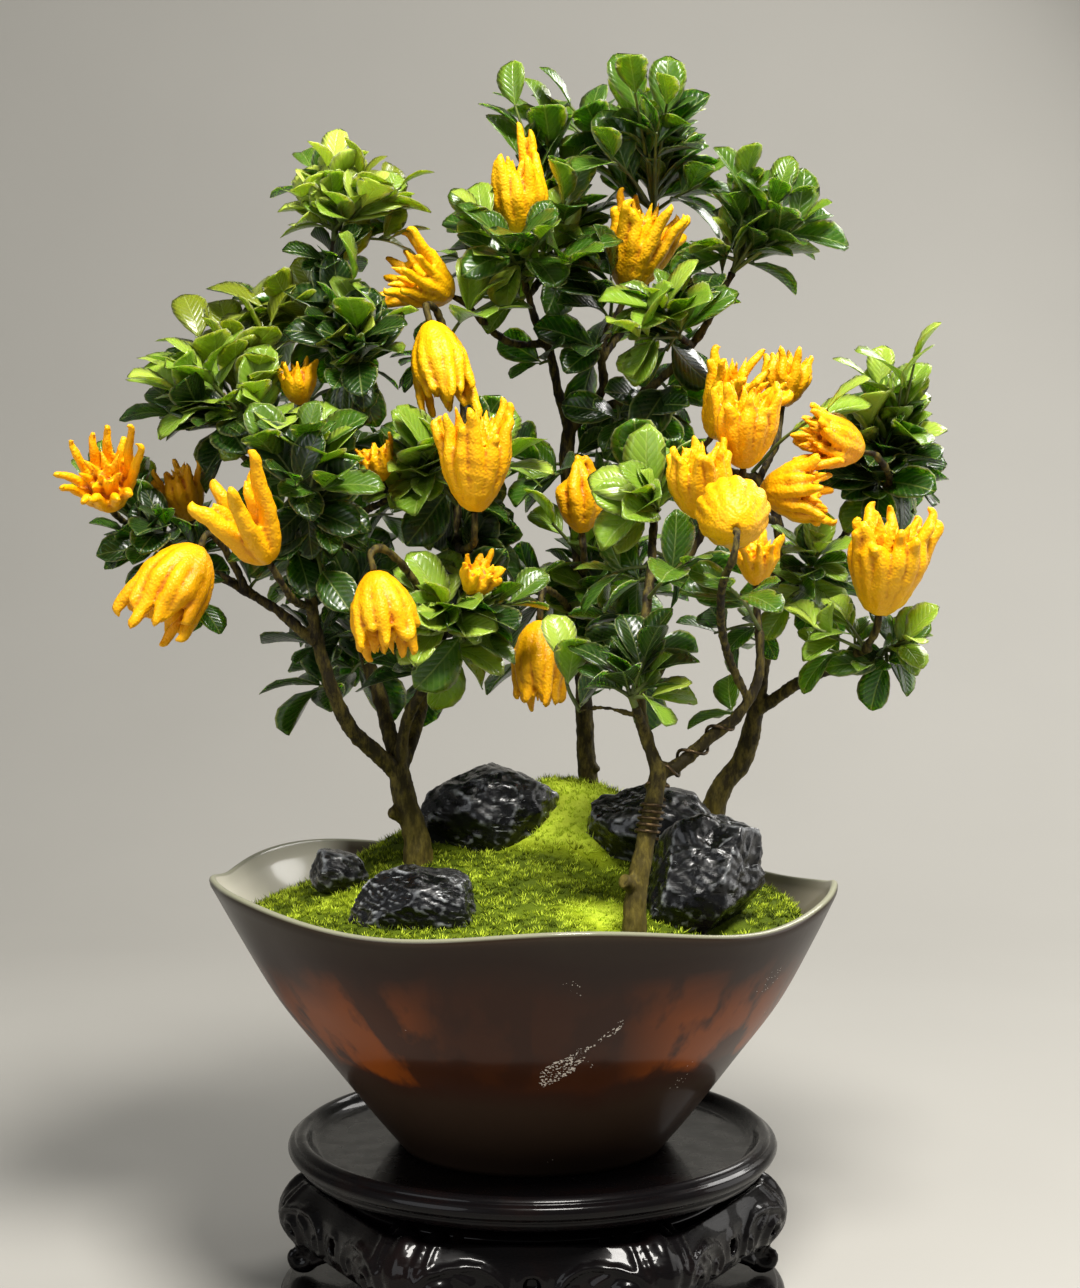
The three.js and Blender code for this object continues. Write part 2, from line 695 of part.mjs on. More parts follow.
function trunkHole(name) {
  const wood = WOOD[name];
  const [foot, ...rest] = footPoints(wood);
  foot.z -= SEAT_GAP;
  const reach = rest.filter((p) => p.z < foot.z + 90);
  return solidOf(bar([foot, ...reach], wood.trunk.radii[0] + 0.6, wood.trunk.radii[0] + 0.6, 5));
}

// Training wire: a helix around a bar between two points
function wireGeometry(from, to, coilRadius, turns) {
  const along = to.clone().sub(from).normalize();
  const [across, over] = squareTo(along);
  const steps = turns * 6;
  const path = Array.from({ length: steps + 1 }, (_, i) => {
    const angle = (i / 6) * TURN;
    return from.clone().lerp(to, i / steps)
      .addScaledVector(across, Math.cos(angle) * coilRadius)
      .addScaledVector(over, Math.sin(angle) * coilRadius);
  });
  return bar(path, WIRE_RADIUS, WIRE_RADIUS, 3);
}

// Leafy sprays. Each shoot holds the point that its end leaf reaches and its number of leaves
const SPRAYS = {
  top_left: [
    [5, 92, 856, 7], [-24, 84, 826, 6], [32, 98, 818, 6], [37, 66, 775, 4], [19, 32, 736, 5],
    [-24, 22, 707, 5], [-42, -8, 699, 4], [-2, 150, 804, 6], [-39, 150, 753, 5],
  ],
  top_right: [
    [66, 100, 840, 6], [93, 104, 872, 8], [124, 96, 815, 6], [85, 58, 790, 4], [79, 160, 835, 6],
    [123, 150, 782, 5],
  ],
  right_high: [
    [147, 44, 787, 6], [193, 24, 745, 7], [128, 6, 742, 4], [180, 60, 712, 5], [114, 12, 719, 3],
    [171, 110, 755, 6],
  ],
  centre: [[88, 18, 700, 6], [61, 4, 650, 4], [120, 20, 690, 4], [73, 12, 613, 4], [46, 10, 680, 3]],
  middle: [
    [-8, 40, 559, 5], [64, 34, 566, 6], [52, 14, 487, 5], [6, 40, 444, 4], [50, 52, 417, 5],
    [14, 30, 493, 4], [88, 120, 517, 5], [14, 152, 530, 5], [70, 150, 442, 5],
  ],
  middle_right: [
    [62, -100, 545, 5], [80, -46, 592, 6], [57, -30, 584, 4], [58, -80, 506, 3], [90, -30, 564, 4],
  ],
  low_front: [
    [82, -150, 487, 5], [45, -138, 465, 4], [96, -150, 458, 4], [104, -150, 422, 4],
    [36, -140, 437, 3],
  ],
  left_top: [
    [-166, 16, 782, 8], [-139, 30, 810, 7], [-96, 18, 797, 6], [-181, 22, 755, 6], [-63, 24, 758, 8],
    [-116, -6, 745, 6], [-168, 110, 805, 6], [-96, 110, 762, 6],
  ],
  left_column: [
    [-142, -26, 702, 6], [-98, -24, 692, 6], [-156, -34, 668, 5], [-105, -50, 641, 5],
    [-134, -58, 610, 5], [-119, -50, 675, 5],
  ],
  far_left_high: [
    [-215, 20, 687, 6], [-193, -16, 655, 5], [-168, 6, 702, 4], [-268, -56, 629, 6],
    [-241, -50, 655, 7], [-205, -64, 633, 5], [-229, -66, 590, 6], [-278, -36, 602, 4],
    [-238, 90, 667, 6],
  ],
  left_crown: [
    [-185, -88, 600, 6], [-142, -84, 619, 7], [-111, -92, 590, 6], [-150, -136, 562, 4],
    [-116, -130, 556, 4], [-136, -116, 520, 5], [-121, -104, 500, 5], [-126, -96, 462, 4],
  ],
  far_left: [
    [-324, -4, 572, 6], [-273, -66, 500, 6], [-236, -78, 544, 5], [-309, -26, 525, 4],
    [-202, -66, 448, 4], [-276, 20, 586, 5], [-249, 60, 531, 5],
  ],
  left_low: [
    [-64, -100, 498, 5], [-30, -98, 453, 5], [-68, -100, 440, 4], [-21, -78, 423, 4],
    [-14, -60, 478, 5], [-104, -84, 423, 3],
  ],
  centre_left: [
    [-86, -50, 564, 6], [-74, -50, 604, 5], [-27, -34, 510, 4], [-9, 36, 605, 3], [-66, -84, 583, 4],
  ],
  right_top: [
    [257, 34, 633, 7], [239, 40, 664, 6], [215, 4, 622, 5], [282, 44, 606, 5], [262, 20, 584, 6],
    [298, 48, 540, 6], [232, 28, 512, 4], [239, 120, 619, 6], [278, 130, 568, 6],
  ],
  right_middle: [
    [197, -10, 525, 4], [185, -46, 505, 5], [175, -28, 457, 5], [206, 14, 462, 4], [156, -6, 440, 4],
    [222, 96, 455, 6],
  ],
  right_low: [
    [258, -84, 460, 5], [238, -44, 416, 6], [268, -50, 443, 4], [205, -70, 420, 3],
    [268, 20, 449, 5],
  ],
};

// Where a spray starts: the cap of the limb that carries it, and the way that limb points
function seatOf(spray) {
  const limb = Object.values(WOOD).flatMap((wood) => wood.limbs).find((item) => item.seats === spray);
  const end = point(limb.points[limb.points.length - 1]);
  const along = end.clone().sub(point(limb.points[limb.points.length - 2])).normalize();
  return { start: end.addScaledVector(along, SEAT_GAP), along };
}

// A twig leaves the stem along the limb, bows and ends short of the point that its end leaf reaches
function twigPoints(seat, shoot) {
  const start = seat.start.clone().addScaledVector(seat.along, TWIG.stemLength * 0.7);
  const reach = point(shoot).sub(start);
  const length = Math.max(14, reach.length() - LEAF.length * 0.9);
  const end = start.clone().addScaledVector(reach.normalize(), length);
  const direct = start.clone().lerp(end, 0.4);
  const knee = start.clone().addScaledVector(seat.along, length * 0.25).lerp(direct, 0.5);
  const at = (t) => start.clone().multiplyScalar((1 - t) ** 2)
    .addScaledVector(knee, 2 * t * (1 - t)).addScaledVector(end, t * t);
  return [start, at(0.5), end];
}

// A leaf's root, its three directions and its size, from the spray, shoot and leaf numbers
function leafPlace(points, spray, shoot, leaf, count) {
  const share = mix(0.3, 1, (leaf + 1) / count);
  const piece = share < 0.5 ? 0 : 1;
  const root = points[piece].clone().lerp(points[piece + 1], share < 0.5 ? share * 2 : share * 2 - 1);
  const along = points[piece + 1].clone().sub(points[piece]).normalize();
  if (leaf === count - 1) {
    root.addScaledVector(along, -TWIG.endRoot);
  }
  const [across, over] = squareTo(along);
  const key = spray * 20 + shoot;
  const around = draw(key, 0, 1) * TURN + leaf * 2.4;
  const lean = leaf === count - 1 ? 0.15 : mix(1.25, 0.75, share) + 0.4 * (draw(key, leaf, 2) - 0.5);
  const way = along.clone().multiplyScalar(Math.cos(lean))
    .addScaledVector(across, Math.sin(lean) * Math.cos(around))
    .addScaledVector(over, Math.sin(lean) * Math.sin(around))
    .normalize();
  const up = along.clone().multiplyScalar(0.6).add(vec(0, -0.35, 0.75));
  up.addScaledVector(way, -up.dot(way)).normalize();
  const roll = 0.7 * (draw(key, leaf, 3) - 0.5);
  const side = new THREE.Vector3().crossVectors(way, up);
  const face = up.clone().multiplyScalar(Math.cos(roll)).addScaledVector(side, Math.sin(roll));
  const length = LEAF.length * mix(0.84, 1.1, draw(key, leaf, 4));
  return { root, way, face, side: new THREE.Vector3().crossVectors(face, way), length };
}

// A point of the leaf's face: s along it, v across it in leaf lengths, and a height over the face
function leafPoint(place, s, v, height) {
  const { root, way, face, side, length } = place;
  return root.clone()
    .addScaledVector(way, s * length)
    .addScaledVector(side, v * length)
    .addScaledVector(face, LEAF.fold * Math.abs(v) * length - LEAF.droop * s * s * length + height);
}

// A blade with a folded midrib; grow thickens it to test its clearance
function leafGeometry(place, grow = 0) {
  const half = LEAF.thickness / 2 + grow;
  const wide = LEAF.halfWidth + grow / place.length;
  const end = 1 + grow / place.length;
  const outline = [[0, 0], [LEAF.wideAt, wide], [end, 0], [LEAF.wideAt, -wide], [LEAF.wideAt, 0]];
  const face = (height) => outline.map(([s, v]) => leafPoint(place, s, v, height));
  const vertices = [...face(half), ...face(-half)];
  const over = [[0, 4, 1], [1, 4, 2], [2, 4, 3], [3, 4, 0]];
  const under = over.map(([a, b, c]) => [a + 5, c + 5, b + 5]);
  const rim = [0, 1, 2, 3].flatMap((i) => {
    const j = (i + 1) % 4;
    return [[i, j, j + 5], [i, j + 5, i + 5]];
  });
  return surface(vertices, [...over, ...under, ...rim]);
}

// Materials
const COLOURS = {
  lacquer: ['#0d0c0d', 0.2],
  glaze: ['#3b2a22', 0.15],
  soil: ['#2a2119', 0.95],
  moss: ['#5f7d16', 0.95],
  rock: ['#1c1e20', 0.35],
  bark: ['#4d4426', 0.8],
  wire: ['#6a5a44', 0.4],
  peel: ['#e89a0c', 0.45],
  leaf: ['#3f7d1c', 0.35],
};

const materials = Object.fromEntries(Object.entries(COLOURS).map(([name, [color, roughness]]) => (
  [name, new THREE.MeshStandardMaterial({ color, roughness, metalness: name === 'wire' ? 0.8 : 0 })])));

const bonsai = new THREE.Group();
const placed = [];

function addSolid(name, material, solid) {
  const mesh = new THREE.Mesh(geometryOf(solid), materials[material]);
  mesh.name = name;
  bonsai.add(mesh);
  placed.push({ name, solid, box: solid.boundingBox() });
}

// Whether a solid crosses one of the pieces placed so far
function crosses(solid) {
  const box = solid.boundingBox();
  const near = (item) => [0, 1, 2].every((i) => box.min[i] < item.box.max[i] && box.max[i] > item.box.min[i]);
  return placed.filter(near).some((item) => !item.solid.intersect(solid).isEmpty());
}

addSolid('stand_foot', 'lacquer', solidOf(footGeometry()));
addSolid('stand_legs', 'lacquer', carvedLegs());
addSolid('stand_neck', 'lacquer', solidOf(neckGeometry()));
addSolid('stand_tray', 'lacquer', solidOf(trayGeometry()));
addSolid('pot', 'glaze', solidOf(potGeometry()));

const woods = Object.fromEntries(Object.keys(WOOD).map((name) => [name, woodSolid(name)]));
const holes = Object.keys(WOOD).map(trunkHole);
ROCKS.forEach((rock, i) => holes.push(solidOf(rockGeometry(rock, i, CUT_CLEARANCE))));
const drilled = (geometry) => holes.reduce((whole, hole) => whole.subtract(hole), solidOf(geometry));
addSolid('soil', 'soil', drilled(soilGeometry()));
addSolid('moss', 'moss', drilled(mossGeometry()));
ROCKS.forEach((rock, i) => addSolid(rock.name, 'rock', solidOf(rockGeometry(rock, i))));
Object.entries(woods).forEach(([name, solid]) => addSolid(name, 'bark', solid));
addSolid('training_wire', 'wire', solidOf(wireGeometry(vec(71.5, -128.5, 334), vec(76, -125, 354), 8.6, 3)));
FRUITS.forEach((fruit, i) => {
  addSolid(`fruit_${String(i + 1).padStart(2, '0')}`, 'peel', solidOf(fruitGeometry(fruit, i)));
});

// Each spray is one body; a leaf that would cross another piece is left off
Object.entries(SPRAYS).forEach(([name, shoots], spray) => {
  const seat = seatOf(name);
  const stemEnd = seat.start.clone().addScaledVector(seat.along, TWIG.stemLength);
  const pieces = [bar([seat.start, stemEnd], TWIG.stemRadius, TWIG.stemRadius * 0.9, 5)];
  shoots.forEach((shoot, number) => {
    if (number % SHOOT_SKIP === SHOOT_SKIP - 1) {
      return;
    }
    const points = twigPoints(seat, shoot);
    pieces.push(bar(points, TWIG.radius, TWIG.tipRadius, 3));
    const count = shoot[3];
    for (let leaf = count - 1; leaf >= 0; leaf -= LEAF_STEP) {
      const place = leafPlace(points, spray, number, leaf, count);
      if (!crosses(solidOf(leafGeometry(place, CUT_CLEARANCE)))) {
        pieces.push(leafGeometry(place));
      }
    }
  });
  addSolid(`spray_${name}`, 'leaf', joined(pieces));
});

export default bonsai;
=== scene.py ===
"""Looks for a Buddha's hand citron trained as a bonsai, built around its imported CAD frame.

Blender works in metres. Tables and sizes are in millimetres here, and MM turns them into metres.
"""
import json
import math

import bmesh
import bpy
import numpy as np
from bpy.props import FloatProperty, FloatVectorProperty, IntProperty, PointerProperty
from bpy.types import Operator, Panel, PropertyGroup
from mathutils import Euler, Matrix, Vector, noise

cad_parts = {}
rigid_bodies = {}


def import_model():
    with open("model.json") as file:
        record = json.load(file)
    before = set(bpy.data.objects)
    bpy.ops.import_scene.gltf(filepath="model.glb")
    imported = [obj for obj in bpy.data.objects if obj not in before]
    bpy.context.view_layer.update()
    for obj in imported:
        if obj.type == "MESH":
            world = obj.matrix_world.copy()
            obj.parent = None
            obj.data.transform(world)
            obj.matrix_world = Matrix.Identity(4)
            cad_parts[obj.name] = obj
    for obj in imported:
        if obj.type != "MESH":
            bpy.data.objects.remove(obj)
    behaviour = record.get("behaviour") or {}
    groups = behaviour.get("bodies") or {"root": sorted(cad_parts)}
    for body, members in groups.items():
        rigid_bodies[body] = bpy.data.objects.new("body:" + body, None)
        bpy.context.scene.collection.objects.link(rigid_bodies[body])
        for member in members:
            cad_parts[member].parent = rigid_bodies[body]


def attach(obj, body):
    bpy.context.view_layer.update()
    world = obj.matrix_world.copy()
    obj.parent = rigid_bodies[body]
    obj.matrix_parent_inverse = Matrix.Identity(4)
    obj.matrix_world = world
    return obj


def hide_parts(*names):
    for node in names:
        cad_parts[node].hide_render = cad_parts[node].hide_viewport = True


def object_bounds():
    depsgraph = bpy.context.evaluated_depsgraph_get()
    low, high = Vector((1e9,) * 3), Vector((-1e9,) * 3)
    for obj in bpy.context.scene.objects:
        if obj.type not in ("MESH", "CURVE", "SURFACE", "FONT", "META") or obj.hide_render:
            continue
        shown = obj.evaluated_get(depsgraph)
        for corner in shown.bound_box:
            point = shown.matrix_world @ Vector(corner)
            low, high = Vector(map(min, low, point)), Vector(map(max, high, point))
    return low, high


bl_info = {
    "name": "Citron Bonsai",
    "version": (1, 0, 0),
    "blender": (4, 5, 0),
    "location": "View3D > Sidebar > Bonsai",
    "description": "Builds a fruiting citron bonsai, its glazed pot and its carved stand",
    "category": "Object",
}

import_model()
CAD_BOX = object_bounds()

MM = 0.001
TURN = math.tau
BODY = "root"

# Heights and radii of the frame's stand, pot and mound
STAND = {"foot": 10, "base": 74, "neck": 88, "floor": 105, "lip": 114, "tray": 168, "legs": 6}
# The apron between the legs: height, radius between them and radius at a leg
APRON = (
    (26, 122, 132), (33, 145, 158), (50, 153, 172), (66, 152, 172), (80, 146, 158), (74, 139, 140),
)
# The bars of one leg: how far aside each stands and its radius. A bar's places have a radius, a
# height and a share of the way aside; the outer bars lie further in, all but their ends
LEG_BARS = ((0, 8), (-12, 7), (12, 7), (-23, 5.5), (23, 5.5))
LEG_BOW = ((128, 60, 1), (152, 76, 1), (166, 64, 1), (167, 48, 0.9), (157, 32, 0.6))
LEG_END = (152, 20, 0.3)
# The scroll under a leg: radius and height
LEG_TOE = ((150, 24), (157, 17), (164, 18), (166, 24), (161, 27))
# From one leg to the next along the apron
LEG_SPACING = 178
# Carved lines beside a leg, besides its flutes and two spirals: places by their distance from the
# leg and their height, then half a line's width and how far it stands out
CARVED_LINES = (
    (((25, 65), (40, 68), (55, 66), (67, 58), (70, 48), (64, 42), (58, 46), (60, 52)), 2.6, 3.8),
    (((44, 34), (50, 44), (47, 56), (38, 62)), 2.2, 2.8),
    (((90, 34), (80, 33), (72, 37), (64, 35), (52, 31), (40, 33), (26, 31), (14, 28)), 2.2, 3.2),
)
# Holes through the apron, one between two legs and one at each side of a leg: height and radius
MIDDLE_HOLE, SIDE_HOLE = (55, 5.5), (50, 3.6)
# Degrees from a leg to the hole beside it
SIDE_HOLE_ANGLE = 9.1
# Where the middle of a hole lies and how long it is
BORE_RADIUS, BORE_DEPTH = 165, 40
# How many sides the round pieces have
SIDES = {"tray": 160, "neck": 140, "foot": 140, "core": 96, "bows": 12, "bore": 20, "pot": 200,
         "moss": 132, "limbs": 9, "fingers": 9, "wire": 8}

POT = {"height": 173, "wall": 9, "shift": -6, "hollow": 1.3, "floor": 12}
# The rim's ruffle: its lobes, where one stands in degrees and how high, and the rim's tilt likewise
RUFFLE = {"lobes": 5, "at": 65, "high": 4.5, "tilt_at": 200, "tilt": 4, "lift": 1.5}
# Radius and height up the pot's wall, then over its rim
POT_OUTSIDE = ((90, 105.3), (112, 132), (142, 171), (172, 210), (196, 251), (210, 277))
POT_RIM = ((210.2, 279.4), (209.6, 280.8), (208.2, 281.6), (206.4, 281.3), (205.2, 280))
# Heights between which the glaze turns to its pale rim, thin glaze with a painted highlight along
# the edge
PALE_FROM, PALE_AT = 279.6, 281
MOSS = {"edge": 186, "edge_height": 268, "peak": 68, "peak_x": 25, "peak_y": 95, "thickness": 6}
# Hollows in the mound before three of the rocks: x, y, depth and radius
DIPS = ((-28, 18, 18, 30), (58, -22, 22, 28), (112, -108, 10, 28))
# How the rim rises at the back left and at its two pinched corners: angle and width in degrees,
# rise and reach outwards in millimetres
RIM_RISES = ((164, 26, 6, 0), (186, 7, 3, 5), (-4, 6, 3, 1))
# Pools of light painted onto the moss: x, y, radius and how much brighter
PAINTED_LIGHT_ON_MOSS = ((24, 52, 68, 0.85), (46, -112, 46, 0.4), (-130, -60, 45, 0.3))
# How widely the mound falls off from its peak to each side
MOSS_SPREAD = {"left": 110, "right": 70, "front": 95, "back": 75}
MOSS_RINGS = 42
ROOT_DEPTH = 30
# How a trunk's radius falls from its foot
ROOT_FLARE = (1.3, 1.2, 1.05, 0.98, 0.94)
# Limbs over the first radius have knots, and those over the second one have them closer
KNOTS = {"from": 3.3, "close_from": 5, "gap": 21, "close_gap": 15}
SEAT_GAP = 0.3
# How many of a melted skin's faces are kept
KEPT_FACES = {"legs": 0.4, "bark": 0.55, "peel": 0.65}

# Leaves and twigs, by the frame's own rule
LEAF = {"length": 44, "half_width": 0.26}
# Sprays whose leaves are smaller than the rest, as a share of the full size
SMALL_LEAVES = {"right_low": 0.7, "right_middle": 0.78, "low_front": 0.86, "middle": 0.9,
                "left_top": 0.84, "right_high": 0.9, "far_left": 0.86}
TWIG = {"stem_radius": 2.6, "stem_length": 10, "end_root": 2.5, "girths": (1.8, 1.5, 1.1)}
STALK_RADIUS = 2.6
# Fruits that open into a few stout fingers, one for each finger of the frame's solid
FEW_FINGERS = {3: (0,)}
# How a finger's radius goes from the stalk end to its tip
FINGER_TAPER = (0.5, 0.75, 0.92, 1.0, 0.95, 0.86, 0.74, 0.52, 0.16)
WIRE = {
    "start": (71.5, -128.5, 334), "end": (76, -125, 354), "coil": 7.2, "turns": 5, "radius": 1.1,
}
# Where the wire winds on up a limb, with how many turns and how wide at its end
WIRE_ON = ((77, -124, 357), (81, -121, 371), (93, -118, 379), (111, -116, 394), (128, -112.5, 408))
WIRE_ON_TURNS, WIRE_ON_COIL = 4, 5.2

# The side of the tree that is looked at, where leaves hang clear of the fruit
FRONT_EYE = Vector((5, -1495, 534))
# A blade's half width at shares of its length: a short stem, then a rounded oval
BLADE_SHARES = (0, 0.06, 0.16, 0.3, 0.45, 0.6, 0.74, 0.87, 0.95, 1)
BLADE_WIDTHS = (0.028, 0.03, 0.3, 0.66, 0.88, 1, 1, 0.84, 0.58, 0.14)
# The rows of a blade's faces, how many lie side by side, and how much thinner than long it is
BLADE_ROWS, BLADE_ACROSS, BLADE_THICKNESS = (0, 0.07, 0.16, 0.3, 0.46, 0.62, 0.77, 0.9, 1), 4, 0.014
# Places on a blade that have to keep clear of fruit: shares of its length along and across it
BLADE_SPOTS = ((0.45, 0), (0.62, 0.22), (0.62, -0.22), (0.8, 0), (1, 0))
# A leaf hangs before a fruit when it starts this near to it, lies up to this far in front of it and
# covers this share of its radius
LEAF_BEFORE = {"near": 130, "front": 90, "share": 0.62}
# Such a leaf is turned about its twig up to so many times, by so many radians
LEAF_TRIES, LEAF_TURN = 5, 1.25

# Leaf tones, from the deep green of painted shade to the youngest, with painted light on the
# brighter ones, and the olive of leaves lit from behind
TONES = {"d": 0.08, "m": 0.38, "b": 0.65, "y": 0.82, "o": 1.0}

# Fruits: stalk end, middle of the finger tips, radius, fingers of the frame's solid, how far they
# spread, how much one finger stands out, the wood that carries the fruit and the way of its stalk
FRUITS = (
    ((-277, -40, 541), (-277, -86, 569), 17, 6, 0.8, 0.4, "left",
     ((-205, -25, 492), (-244, -2, 508), (-270, -8, 526))),
    ((-217, -60, 513), (-248, -78, 462), 25, 6, 0.15, 0.1, "left",
     ((-190, -33, 484), (-200, -44, 508))),
    ((-166, -108, 506), (-190, -132, 556), 19, 5, 0.55, 0.2, "left",
     ((-145, -46, 474), (-153, -85, 480))),
    ((-232, 4, 531), (-243, -1, 569), 15, 5, 0.3, 0.1, "left",
     ((-211, -22, 495), (-222, -4, 506))),
    ((-206, 45, 588), (-212, 38, 622), 14, 5, 0.3, 0.1, "left",
     ((-152, 13, 566), (-184, 36, 568))),
    ((-155, -22, 608), (-157, -26, 637), 12, 5, 0.4, 0.1, "left",
     ((-148, 14, 562), (-153, -14, 586))),
    ((-56, 40, 686), (-96, 22, 706), 19, 6, 0.6, 0.2, "middle",
     ((10, 65, 655), (-16, 52, 655), (-36, 46, 670))),
    ((-69, -5, 664), (-55, -20, 606), 20, 6, 0.15, 0.2, "left",
     ((-56, 27, 648), (-66, 18, 674))),
    ((-37, -80, 537), (-36, -86, 603), 22, 6, 0.35, 0.1, "left",
     ((-54, 16, 522), (-48, -32, 512), (-38, -68, 516))),
    ((-100, -30, 557), (-107, -36, 583), 12, 5, 0.3, 0.1, "left",
     ((-127, 20, 530), (-112, -10, 538))),
    ((-99, -112, 499), (-88, -122, 447), 21, 6, 0.2, 0.1, "left",
     ((-63, -40, 443), (-74, -72, 488), (-92, -100, 512))),
    ((-40, -66, 484), (-30, -80, 504), 12, 5, 0.4, 0.1, "left",
     ((-68, 27, 450), (-50, -20, 458))),
    ((-8, 60, 728), (-12, 54, 786), 21, 6, 0.05, 0.35, "middle",
     ((-5, 60, 690),)),
    ((65, 60, 691), (85, 50, 752), 22, 6, 0.5, 0.1, "middle",
     ((52, 66, 660),)),
    ((34, 14, 523), (31, 10, 574), 18, 4, 0, 0.1, "middle",
     ((34, 86, 498), (36, 44, 496))),
    ((5, 0, 463), (4, -6, 407), 19, 6, 0.12, 0.1, "middle",
     ((35, 97, 437), (24, 60, 470), (9, 14, 484))),
    ((122, 10, 588), (149, -10, 634), 20, 6, 0.65, 0.1, "back_right",
     ((153, 22, 560), (130, 19, 567))),
    ((174, 45, 611), (179, 44, 650), 17, 5, 0.3, 0.1, "back_right",
     ((155, 22, 558), (168, 38, 582))),
    ((136, -72, 565), (139, -80, 619), 20, 6, 0.3, 0.1, "back_right",
     ((163, 24, 545), (148, -25, 539), (137, -60, 543))),
    ((220, -20, 577), (180, -34, 589), 18, 6, 0.35, 0.1, "back_right",
     ((229, 54, 535), (244, 16, 556))),
    ((107, -92, 533), (105, -100, 580), 20, 6, 0.3, 0.1, "front_right",
     ((75, -86, 494), (94, -88, 502))),
    ((122, -178, 526), (123, -126, 547), 23, 7, 0.05, 0.05, "front_right",
     ((136, -111, 418), (119, -138, 455), (114, -172, 488), (119, -190, 508))),
    ((151, -44, 550), (194, -58, 551), 19, 6, 0.5, 0.2, "back_right",
     ((168, 26, 530), (154, -10, 535))),
    ((142, -104, 491), (141, -112, 524), 13, 5, 0.6, 0.1, "front_right",
     ((144, -107, 455),)),
    ((226, -60, 470), (235, -68, 536), 24, 7, 0.45, 0.1, "back_right",
     ((220, -43, 446),)),
)

# Where the trunks stand, then the limbs of each wood, its trunk first: middle line, radius at both
# ends and the spray that it carries
FEET = {"left": (-78, -5), "middle": (42, 105), "front_right": (64, -135), "back_right": (130, 80)}
LIMBS = {
    "left": (
        (((-78, -5, 301), (-80, -5, 318), (-87, -5, 341), (-92, -5, 366)), (9, 7.2), None),
        (((-90, -5, 358), (-109, -15, 377), (-122, -25, 392), (-133, -35, 418), (-142, -42, 452),
          (-147, -52, 489)), (6.2, 4), None),
        (((-143, -44, 450), (-172, -42, 474), (-211, -22, 495),
          (-240, -16, 512)), (3.8, 2.8), "far_left"),
        (((-146, -50, 482), (-153, -50, 516), (-150, -56, 539)), (3.6, 2.8), "left_crown"),
        (((-91, -5, 360), (-104, 12, 406), (-118, 22, 449), (-126, 22, 504), (-129, 16, 559),
          (-134, 14, 613), (-137, 22, 680), (-136, 28, 722)), (5.6, 2.8), "left_top"),
        (((-127, 18, 540), (-157, 12, 572), (-186, -10, 594)), (3.4, 2.8), "far_left_high"),
        (((-133, 14, 602), (-122, -5, 630)), (3.2, 2.8), "left_column"),
        (((-91, -5, 360), (-86, -6, 394), (-74, -20, 417), (-62, -42, 445),
          (-57, -54, 462)), (4.6, 2.8), "left_low"),
        (((-91, -5, 358), (-82, 8, 383), (-73, 24, 419), (-63, 28, 476), (-53, 14, 531),
          (-48, 14, 586), (-48, 28, 620), (-58, 26, 655)), (5, 2.8), None),
        (((-51, 14, 545), (-62, -14, 557)), (3.2, 2.8), "centre_left"),
        (((-82, -5, 326), (-97, -12, 334)), (5.5, 4.5), None),
    ),
    "middle": (
        (((42, 105, 330), (39, 105, 356), (37, 105, 398), (35, 94, 459), (33, 84, 517),
          (24, 76, 571), (27, 74, 602)), (6.2, 4.8), None),
        (((26, 74, 594), (18, 70, 622), (12, 66, 649), (3, 62, 668),
          (-6, 60, 699)), (4, 2.8), None),
        (((-4, 61, 688), (14, 78, 711)), (3.2, 2.8), "top_left"),
        (((26, 74, 595), (43, 74, 613), (50, 72, 627), (48, 68, 651),
          (54, 64, 668)), (4, 2.8), None),
        (((49, 69, 645), (76, 90, 688), (88, 98, 728), (87, 100, 752)), (3.4, 2.8), "top_right"),
        (((40, 74, 609), (67, 66, 616), (89, 56, 629), (112, 46, 654), (127, 40, 680),
          (138, 38, 702)), (3.6, 2.8), "right_high"),
        (((110, 47, 652), (101, 26, 657)), (3.2, 2.8), "centre"),
        (((35, 95, 452), (50, 84, 468)), (3.4, 2.8), "middle"),
        (((40, 105, 345), (47, 100, 352)), (4, 3.4), None),
    ),
    "front_right": (
        (((64, -135, 284), (67, -132, 310), (71, -129, 331), (76, -125, 355),
          (81, -120, 380)), (6.4, 5.6), None),
        (((80, -120, 372), (69, -116, 405), (67, -110, 432), (70, -102, 455), (76, -84, 499),
          (79, -66, 535)), (4.6, 2.8), "middle_right"),
        (((68, -115, 408), (46, -110, 413), (30, -106, 411)), (1.8, 1.2), None),
        (((79, -120, 372), (92, -118, 378), (111, -116, 394), (131, -112, 410), (143, -110, 433),
          (144, -107, 462)), (4.8, 3), None),
        (((72, -117, 396), (64, -132, 416)), (3.2, 2.8), "low_front"),
        (((66, -133, 302), (57, -141, 308)), (6, 5), None),
    ),
    "back_right": (
        (((130, 80, 300), (130, 80, 324), (137, 80, 341), (150, 80, 358), (156, 76, 379),
          (160, 70, 401)), (7.8, 6), None),
        (((159, 71, 394), (186, 50, 416), (205, 18, 429), (214, -20, 440),
          (222, -48, 447)), (4.8, 3), None),
        (((207, 10, 431), (232, -6, 441)), (3.2, 2.8), "right_low"),
        (((160, 71, 394), (165, 62, 439), (169, 44, 482), (171, 28, 517), (164, 24, 545),
          (151, 22, 564)), (5, 3), None),
        (((167, 52, 466), (205, 60, 500), (231, 54, 538), (241, 48, 557)), (3.6, 2.8), "right_top"),
        (((170, 40, 490), (184, 20, 495)), (3.2, 2.8), "right_middle"),
    ),
}
